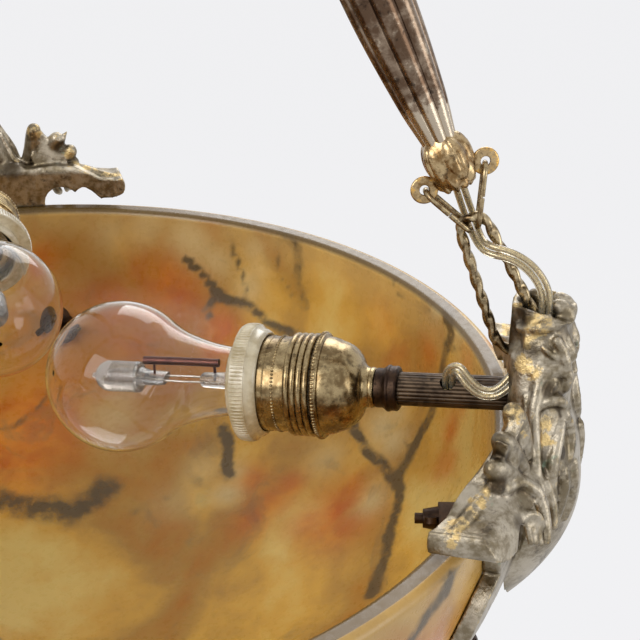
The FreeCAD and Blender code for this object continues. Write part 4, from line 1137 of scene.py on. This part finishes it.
# ---- brackets -------------------------------------------------------------------------------------
def node_shape(node, place):
    """Welded copy of a construction piece's mesh, carried back into a side's own frame."""
    back = place.inverted()
    source = frame["nodes"][node].data
    copy = outward(source.copy(), 1e-6)
    shape = ([tuple(back @ (v.co / MM)) for v in copy.vertices], [list(p.vertices) for p in copy.polygons])
    bpy.data.meshes.remove(copy)
    return shape


CASTING_VOXEL, CASTING_GILT = 0.72, 0.45
# Foliage strokes of the near half: (radius, along the rim, height, stroke radius) points.
STROKES = [
    [(213.0, -32, 21.5, 3.0), (212.0, -34.5, 28.5, 3.6), (209.9, -36.3, 36.5, 4.0), (208.0, -37, 40.4, 3.7)],
    [(213.0, -37, 18.5, 2.8), (210.2, -42, 26.0, 3.6), (207.6, -46.4, 32.6, 3.9), (206.0, -48.2, 35.0, 3.6)],
    [(212.4, -43, 16.5, 2.6), (209.4, -48.4, 22.6, 3.3), (206.2, -53.4, 27.4, 3.4), (204.2, -55.2, 28.6, 3.0)],
    [(204.1, -57, 22.0, 2.0), (206.8, -57, 21.6, 2.0)],
    [(223.6, -12, 38.3, 2.0), (224.7, -12, 42.5, 2.2), (222.8, -13, 45.6, 2.3), (219.7, -14, 46.2, 2.3),
     (216.8, -16, 45.2, 2.3), (215.1, -18, 42.5, 2.3), (214.5, -20, 38.6, 2.2), (214.4, -23, 34.2, 2.1),
     (215.1, -26, 27.9, 2.0), (216.2, -28, 21.0, 1.9), (217.3, -31, 14.7, 1.7), (218.1, -34, 11.7, 1.4)],
    [(219.9, -16, 41.6, 1.7), (218.1, -18, 39.2, 1.9), (217.1, -20, 36.1, 1.8)],
    [(216.6, -21, 35.4, 1.8), (219.5, -20, 36.9, 2.2), (222.9, -18, 36.2, 2.2), (225.3, -14, 31.9, 1.8)],
    [(210.9, -19.9, 38.0, 1.2), (211.8, -23.2, 29.9, 1.3), (211.7, -26.3, 23.4, 1.5), (213.3, -32.9, 19.8, 1.4)],
    [(223.9, -17.8, 26.8, 2.0), (223.5, -22.1, 22.7, 2.3), (222.8, -26.2, 16.6, 2.5), (222.9, -28.1, 9.6, 2.3),
     (224.0, -28.4, 1.4, 1.8)],
    [(225.3, -15.3, 29.5, 1.8), (227.0, -12.1, 22.2, 2.2), (227.6, -13.4, 15.7, 2.2), (227.7, -16.1, 11.5, 1.8)],
    [(226.2, -23.4, 11.3, 2.2), (227.2, -24.1, 5.0, 2.3), (226.3, -22.6, -4.5, 2.0), (225.1, -20.7, -12.9, 1.6)],
    [(229.1, -13.9, 9.3, 2.2), (230.0, -14.1, 2.5, 2.2), (229.5, -12.9, -7.8, 2.1), (227.7, -14.6, -14.3, 1.8)],
    [(219.7, -12.3, 56.7, 2.0), (221.6, -12.3, 53.4, 2.4), (223.1, -12.8, 49.6, 2.4), (224.4, -12.5, 46.5, 1.8)],
    [(215.2, -14.3, 54.9, 0.9), (218.0, -14.8, 52.6, 1.1), (221.5, -13.5, 49.3, 1.0)],
    [(218.6, -3.0, 66.0, 2.6), (220.6, -2.6, 64.6, 3.4), (222.4, -2.2, 62.4, 3.0), (223.2, -2.0, 60.4, 1.6)],
    [(221.0, -6.5, 56.2, 2.2), (223.2, -6.4, 52.0, 2.9), (224.6, -6, 48.8, 2.6), (224.2, -6, 46.1, 1.6)],
    [(206.5, -8, 58.5, 2.0), (210.6, -10.5, 59.7, 2.4), (215.1, -11.2, 61.5, 2.6), (218.8, -9.5, 61.8, 2.2)],
    [(206.0, -8.6, 44.5, 2.4), (209.7, -13, 46.0, 2.8), (212.9, -16, 45.5, 2.4)],
    [(208.3, -55, 20.2, 1.8), (210.2, -51, 20.4, 2.0), (212.8, -47, 19.1, 2.2), (215.7, -44, 16.8, 2.3),
     (218.6, -43, 13.7, 2.4), (220.6, -43, 9.9, 2.4), (222.0, -45, 6.5, 2.4), (223.2, -47, 2.2, 2.2),
     (223.8, -49, -1.7, 2.0)],
    [(221.3, -34, 11.8, 1.6), (223.5, -36, 8.0, 1.7), (225.0, -38, 3.6, 1.7), (225.6, -40, -1.7, 1.6)],
    [(214.6, -57, 10.0, 1.6), (216.3, -55, 11.0, 1.7), (218.5, -53, 10.8, 1.7), (220.8, -51, 8.2, 1.6),
     (222.0, -50, 4.0, 1.5)],
    [(216.0, -55, 9.7, 1.1), (217.7, -56, 6.1, 1.2), (219.2, -57, 1.7, 1.2)],
    [(218.0, -54, 9.3, 1.1), (219.6, -54, 5.1, 1.2), (220.7, -55, 0.6, 1.2)],
    [(219.9, -52, 7.5, 1.1), (221.3, -52, 3.2, 1.2), (222.3, -53, -0.9, 1.2)],
    [(202.8, -57, 19.8, 1.8), (200.9, -62, 18.3, 2.0), (198.7, -67, 16.5, 2.1), (196.5, -72, 15.0, 2.1),
     (194.6, -77, 14.1, 2.0)],
]
# Worn places of the near half, and painted shade on its inner faces, piercings and recesses: the same three measures,
# the spot's radius and its depth.
GILT_SPOTS = [
    (213, -11, 62, 7, 0.62), (209, -14, 57, 6, 0.6), (209, -16, 48, 5, 0.7), (213, -17, 46, 4, 0.6),
    (208, -37, 40, 6, 0.68), (210, -37, 34, 5, 0.66), (219, -22, 29, 4, 0.65), (219, -25, 24, 4, 0.65),
    (212, -26, 23, 3, 0.6), (212, -29, 20, 3, 0.6), (204, -54, 28, 5, 0.6), (203, -57, 20, 4, 0.65),
    (201, -62, 18, 4, 0.7), (199, -67, 16, 4, 0.7), (196, -72, 15, 5, 0.7), (195, -77, 14, 5, 0.7),
    (225, -26, 8, 6, 0.35), (223, -6, 52, 4, 0.5)]
SHADE_SPOTS = [
    (204, 0, 58, 9, 1), (203, 0, 50, 8, 1), (207, -9, 64, 5, 0.9), (211, -15, 53, 4, 0.75), (216, -6, 66, 4, 0.7),
    (205, -50, 31, 5, 0.9), (206, -56, 23, 4.5, 0.9), (211, -43, 27, 4, 0.6),
    (214, -23, 30, 3, 0.8), (217, -25, 20, 3, 0.9), (218, -28, 15, 3, 0.8), (218, -18, 40, 4, 0.8),
    (225, -21, 17, 3, 1), (213, -60, 10, 5, 0.7), (204, -10, 38, 7, 0.7), (204, -15, 28, 7, 0.7),
    (205, -24, 20, 7, 0.7), (221, -8, 58, 4, 0.6), (224, -12, 36, 5, 0.5)]


def rounded_curve(points, parts=6):
    """Points of a smooth curve through the given ones, each with its radius."""
    ends = [points[0]] + list(points) + [points[-1]]
    line = []
    for p0, p1, p2, p3 in zip(ends, ends[1:], ends[2:], ends[3:]):
        for i in range(parts):
            t = i / parts
            line.append(tuple(0.5 * (2 * b + (c - a) * t + (2 * a - 5 * b + 4 * c - d) * t * t
                                     + (3 * b - a - 3 * c + d) * t ** 3) for a, b, c, d in zip(p0, p1, p2, p3)))
    return line + [tuple(points[-1])]


def stroke(points):
    """Chain of overlapping balls along a smooth curve, for melting."""
    balls, last = [], None
    for x, y, z, radius in rounded_curve(points):
        if last is None or math.dist(last, (x, y, z)) > radius * 0.35:
            last = (x, y, z)
            balls.append(moved(BALL, Matrix.Translation(last) @ Matrix.Diagonal((radius, radius, radius, 1))))
    return joined(*balls)


def mirrored(shape):
    points, faces = shape
    return [(x, -y, z) for x, y, z in points], [face[::-1] for face in faces]


def mirrored_spots(spots):
    return list(spots) + [(x, -y, z, size, depth) for x, y, z, size, depth in spots]


def carved(points):
    """The casting's skin with the cheeks of its eye drawn back behind the strap and its top leaves lowered."""
    place = np.array(points)
    r, t, z = place.T
    cheek = np.clip((np.abs(t) - 5.6) / 1.6, 0, 1) * np.clip((z - 49) / 3, 0, 1)
    r = r + cheek * np.maximum(206.6 + np.clip(np.abs(t) - 7, 0, 4) * 0.4 - r, 0)
    top = np.clip((r - 216) / 1.5, 0, 1) * np.clip((np.abs(t) - 4.0) / 1.5, 0, 1)
    z = z - top * np.maximum(z - 61.5, 0) * 0.8
    return np.stack([r, t, z], axis=1).tolist()


def make_brackets():
    base, faces = node_shape("bracket_a", side_place(SIDES["a"]))
    strokes = joined(*[stroke(line) for line in STROKES])
    skin = melted([(carved(base), faces), strokes, mirrored(strokes)], CASTING_VOXEL, 2, "bracket")
    for side, angle in SIDES.items():
        place = side_place(angle)
        obj = piece(f"cast_bracket_{side}", moved(skin, place), "cast", "pendant", "cast_metal",
                    [f"bracket_{side}"], sharp=180)
        # Gilt spots and painted shade spots, mirrored and carried to this side.
        spots, dark = ([(*(place @ Vector(s[:3])), *s[3:]) for s in mirrored_spots(group)]
                       for group in (GILT_SPOTS, SHADE_SPOTS))
        metal_marks(obj, CASTING_GILT, spots, dark)


# ---- clamps, crown and ceiling ------------------------------------------------------------------------
def make_rest():
    for node, finish in (("clamp_screws", "dark"), ("clamp_washers", "leather"), ("wing_nuts", "dark"),
                         ("crown", "canopy"), ("crown_finial", "canopy"), ("swivel_link", "link"),
                         ("ceiling_loop", "link"), ("ceiling_plate", "steel"), ("ceiling_cup", "canopy"),
                         ("cup_ring", "canopy"), ("terminal_block", "plastic")):
        keep_node(node, finish)


# ---- stage ----------------------------------------------------------------------------------------
BACKDROP = tone(242, 242, 244)
FLOOR_HALF, FLOOR_LEVEL = 6, -1.5
# Lamps in metres and watts: name, place, target, size, power.
LAMPS = (("window", (-1.6, -1.2, 0.9), (0, 0, -0.55), 1.5, 34.0),
         ("far_window", (0.9, 1.6, 0.5), (0, 0, -0.5), 1.2, 16.0),
         ("low_fill", (1.5, -1.1, -0.2), (0.1, -0.1, -0.55), 1.0, 8.0))
# The photograph's camera: where it stands and which way its picture's right, top and depth point.
CAMERA_AT = (-0.0217, -0.526, -0.2722)
CAMERA_AXES = ((0.9595, -0.2817, 0.001), (0.1249, 0.4282, 0.895), (0.2525, 0.8586, -0.4461))
SENSOR, LENS = 36.0, 80.7


def seen_directly(tree):
    """1 for rays that come straight from the camera or off metal and through glass."""
    rays = add_node(tree, "ShaderNodeLightPath").outputs
    both = add_node(tree, "ShaderNodeMath", {"operation": "MAXIMUM"},
                    {0: rays["Is Camera Ray"], 1: rays["Is Transmission Ray"]}).outputs[0]
    return add_node(tree, "ShaderNodeMath", {"operation": "MAXIMUM"}, {0: both, 1: rays["Is Glossy Ray"]}).outputs[0]


def make_stage():
    scene = bpy.context.scene
    scene.view_settings.view_transform = "Standard"
    world = bpy.data.worlds.new("studio")
    scene.world = world
    world.use_nodes = True
    tree = world.node_tree
    tree.nodes.clear()
    seen = seen_directly(tree)
    pale = add_node(tree, "ShaderNodeBackground", None, {0: BACKDROP, 1: 1.0})
    fill = add_node(tree, "ShaderNodeBackground", None, {0: (0.84, 0.82, 0.78, 1), 1: 0.5})
    both = add_node(tree, "ShaderNodeMixShader", None, {0: seen, 1: fill.outputs[0], 2: pale.outputs[0]})
    add_node(tree, "ShaderNodeOutputWorld", None, {0: both.outputs[0]})

    corners = [(x * FLOOR_HALF, y * FLOOR_HALF, FLOOR_LEVEL) for x, y in ((-1, -1), (1, -1), (1, 1), (-1, 1))]
    floor_mesh = blank_mesh("floor", corners, [(0, 1, 2, 3)])
    floor = bpy.data.objects.new("floor", floor_mesh)
    scene.collection.objects.link(floor)
    material = bpy.data.materials.new("pale_floor")
    material.use_nodes = True
    tree = material.node_tree
    tree.nodes.clear()
    seen = seen_directly(tree)
    share = add_node(tree, "ShaderNodeMath", {"operation": "MULTIPLY"}, {0: seen, 1: 0.96}).outputs[0]
    matt = add_node(tree, "ShaderNodeBsdfDiffuse", None, {0: BACKDROP})
    glow = add_node(tree, "ShaderNodeEmission", None, {0: BACKDROP, 1: 1.0})
    both = add_node(tree, "ShaderNodeMixShader", None, {0: share, 1: matt.outputs[0], 2: glow.outputs[0]})
    add_node(tree, "ShaderNodeOutputMaterial", None, {0: both.outputs[0]})
    floor_mesh.materials.append(material)

    for name, place, target, size, power in LAMPS:
        lamp = bpy.data.lights.new(name, "AREA")
        lamp.size, lamp.energy = size, power
        obj = bpy.data.objects.new(name, lamp)
        obj.location = place
        aim = Vector(target) - Vector(place)
        obj.rotation_euler = aim.to_track_quat("-Z", "Y").to_euler()
        scene.collection.objects.link(obj)

    camera = bpy.data.cameras.new("camera")
    camera.sensor_width, camera.lens = SENSOR, LENS
    camera.clip_start, camera.clip_end = 0.01, 50
    viewer = bpy.data.objects.new("camera", camera)
    right, up, ahead = (Vector(v).normalized() for v in CAMERA_AXES)
    turn = Matrix((right, up, -ahead)).transposed().to_4x4()
    viewer.matrix_world = Matrix.Translation(CAMERA_AT) @ turn
    scene.collection.objects.link(viewer)
    scene.camera = viewer


# ---- add-on ---------------------------------------------------------------------------------------
class PendantLook(bpy.types.PropertyGroup):
    """Colours of the stone that a user would change."""
    honey: bpy.props.FloatVectorProperty(name="Honey", description="Main colour of the stone", subtype="COLOR",
                                         size=3, default=tone(182, 140, 68)[:3], min=0, max=1)
    vein: bpy.props.FloatVectorProperty(name="Veins", description="Colour of the stone's veins", subtype="COLOR",
                                        size=3, default=tone(84, 74, 56)[:3], min=0, max=1)


FINISHES, GROWERS = {}, {}


class PENDANT_OT_finishes(bpy.types.Operator):
    """Make the materials and the node trees that the pieces share"""
    bl_idname = "pendant.finishes"
    bl_label = "Finishes"

    def execute(self, context):
        FINISHES.update(make_finishes())
        GROWERS.update(flat=swept_tree(True), wire=swept_tree(False), ring=ring_tree())
        return {"FINISHED"}


class PENDANT_OT_flex(bpy.types.Operator):
    """Make the twin flex of each side"""
    bl_idname = "pendant.flex"
    bl_label = "Flex"

    def execute(self, context):
        make_flex()
        return {"FINISHED"}


class PENDANT_OT_bowl(bpy.types.Operator):
    """Make the alabaster bowl"""
    bl_idname = "pendant.bowl"
    bl_label = "Bowl"

    def execute(self, context):
        shape = moved(bowl_shape(), Matrix.Translation((0, 0, -DROP)))
        bowl = piece("bowl", shape, "alabaster", "pendant", "alabaster", ["alabaster_bowl"], sharp=50)
        stone_marks(bowl)
        return {"FINISHED"}


class PENDANT_OT_brackets(bpy.types.Operator):
    """Make the three cast brackets"""
    bl_idname = "pendant.brackets"
    bl_label = "Brackets"

    def execute(self, context):
        make_brackets()
        return {"FINISHED"}


class PENDANT_OT_lamps(bpy.types.Operator):
    """Make the lamp arms, lampholders, shade rings and bulbs"""
    bl_idname = "pendant.lamps"
    bl_label = "Lamps"

    def execute(self, context):
        make_arms()
        make_holders()
        make_rings()
        make_bulbs()
        return {"FINISHED"}


class PENDANT_OT_suspension(bpy.types.Operator):
    """Make the rods, buds and links that hang the bowl"""
    bl_idname = "pendant.suspension"
    bl_label = "Suspension"

    def execute(self, context):
        make_suspension()
        return {"FINISHED"}


class PENDANT_OT_fittings(bpy.types.Operator):
    """Finish the clamps, the crown and the ceiling fittings"""
    bl_idname = "pendant.fittings"
    bl_label = "Fittings"

    def execute(self, context):
        make_rest()
        return {"FINISHED"}


class PENDANT_OT_stage(bpy.types.Operator):
    """Make the floor, the lights and the camera"""
    bl_idname = "pendant.stage"
    bl_label = "Stage"

    def execute(self, context):
        make_stage()
        return {"FINISHED"}


STEPS = (PENDANT_OT_finishes, PENDANT_OT_stage, PENDANT_OT_flex, PENDANT_OT_bowl, PENDANT_OT_brackets,
         PENDANT_OT_lamps, PENDANT_OT_suspension, PENDANT_OT_fittings)


class PENDANT_PT_panel(bpy.types.Panel):
    """Lists the steps that build the pendant"""
    bl_idname = "PENDANT_PT_panel"
    bl_label = "Pendant"
    bl_space_type = "VIEW_3D"
    bl_region_type = "UI"
    bl_category = "Pendant"

    def draw(self, context):
        look = context.scene.pendant_look
        self.layout.prop(look, "honey")
        self.layout.prop(look, "vein")
        for step in STEPS:
            self.layout.operator(step.bl_idname)


CLASSES = (PendantLook, *STEPS, PENDANT_PT_panel)


def register():
    for item in CLASSES:
        bpy.utils.register_class(item)
    bpy.types.Scene.pendant_look = bpy.props.PointerProperty(type=PendantLook)


def unregister():
    del bpy.types.Scene.pendant_look
    for item in reversed(CLASSES):
        bpy.utils.unregister_class(item)


def main():
    register()
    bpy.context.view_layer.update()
    for step in STEPS:
        group, label = step.bl_idname.split(".")
        getattr(getattr(bpy.ops, group), label)()
    bpy.context.view_layer.update()


if __name__ == "__main__":
    main()
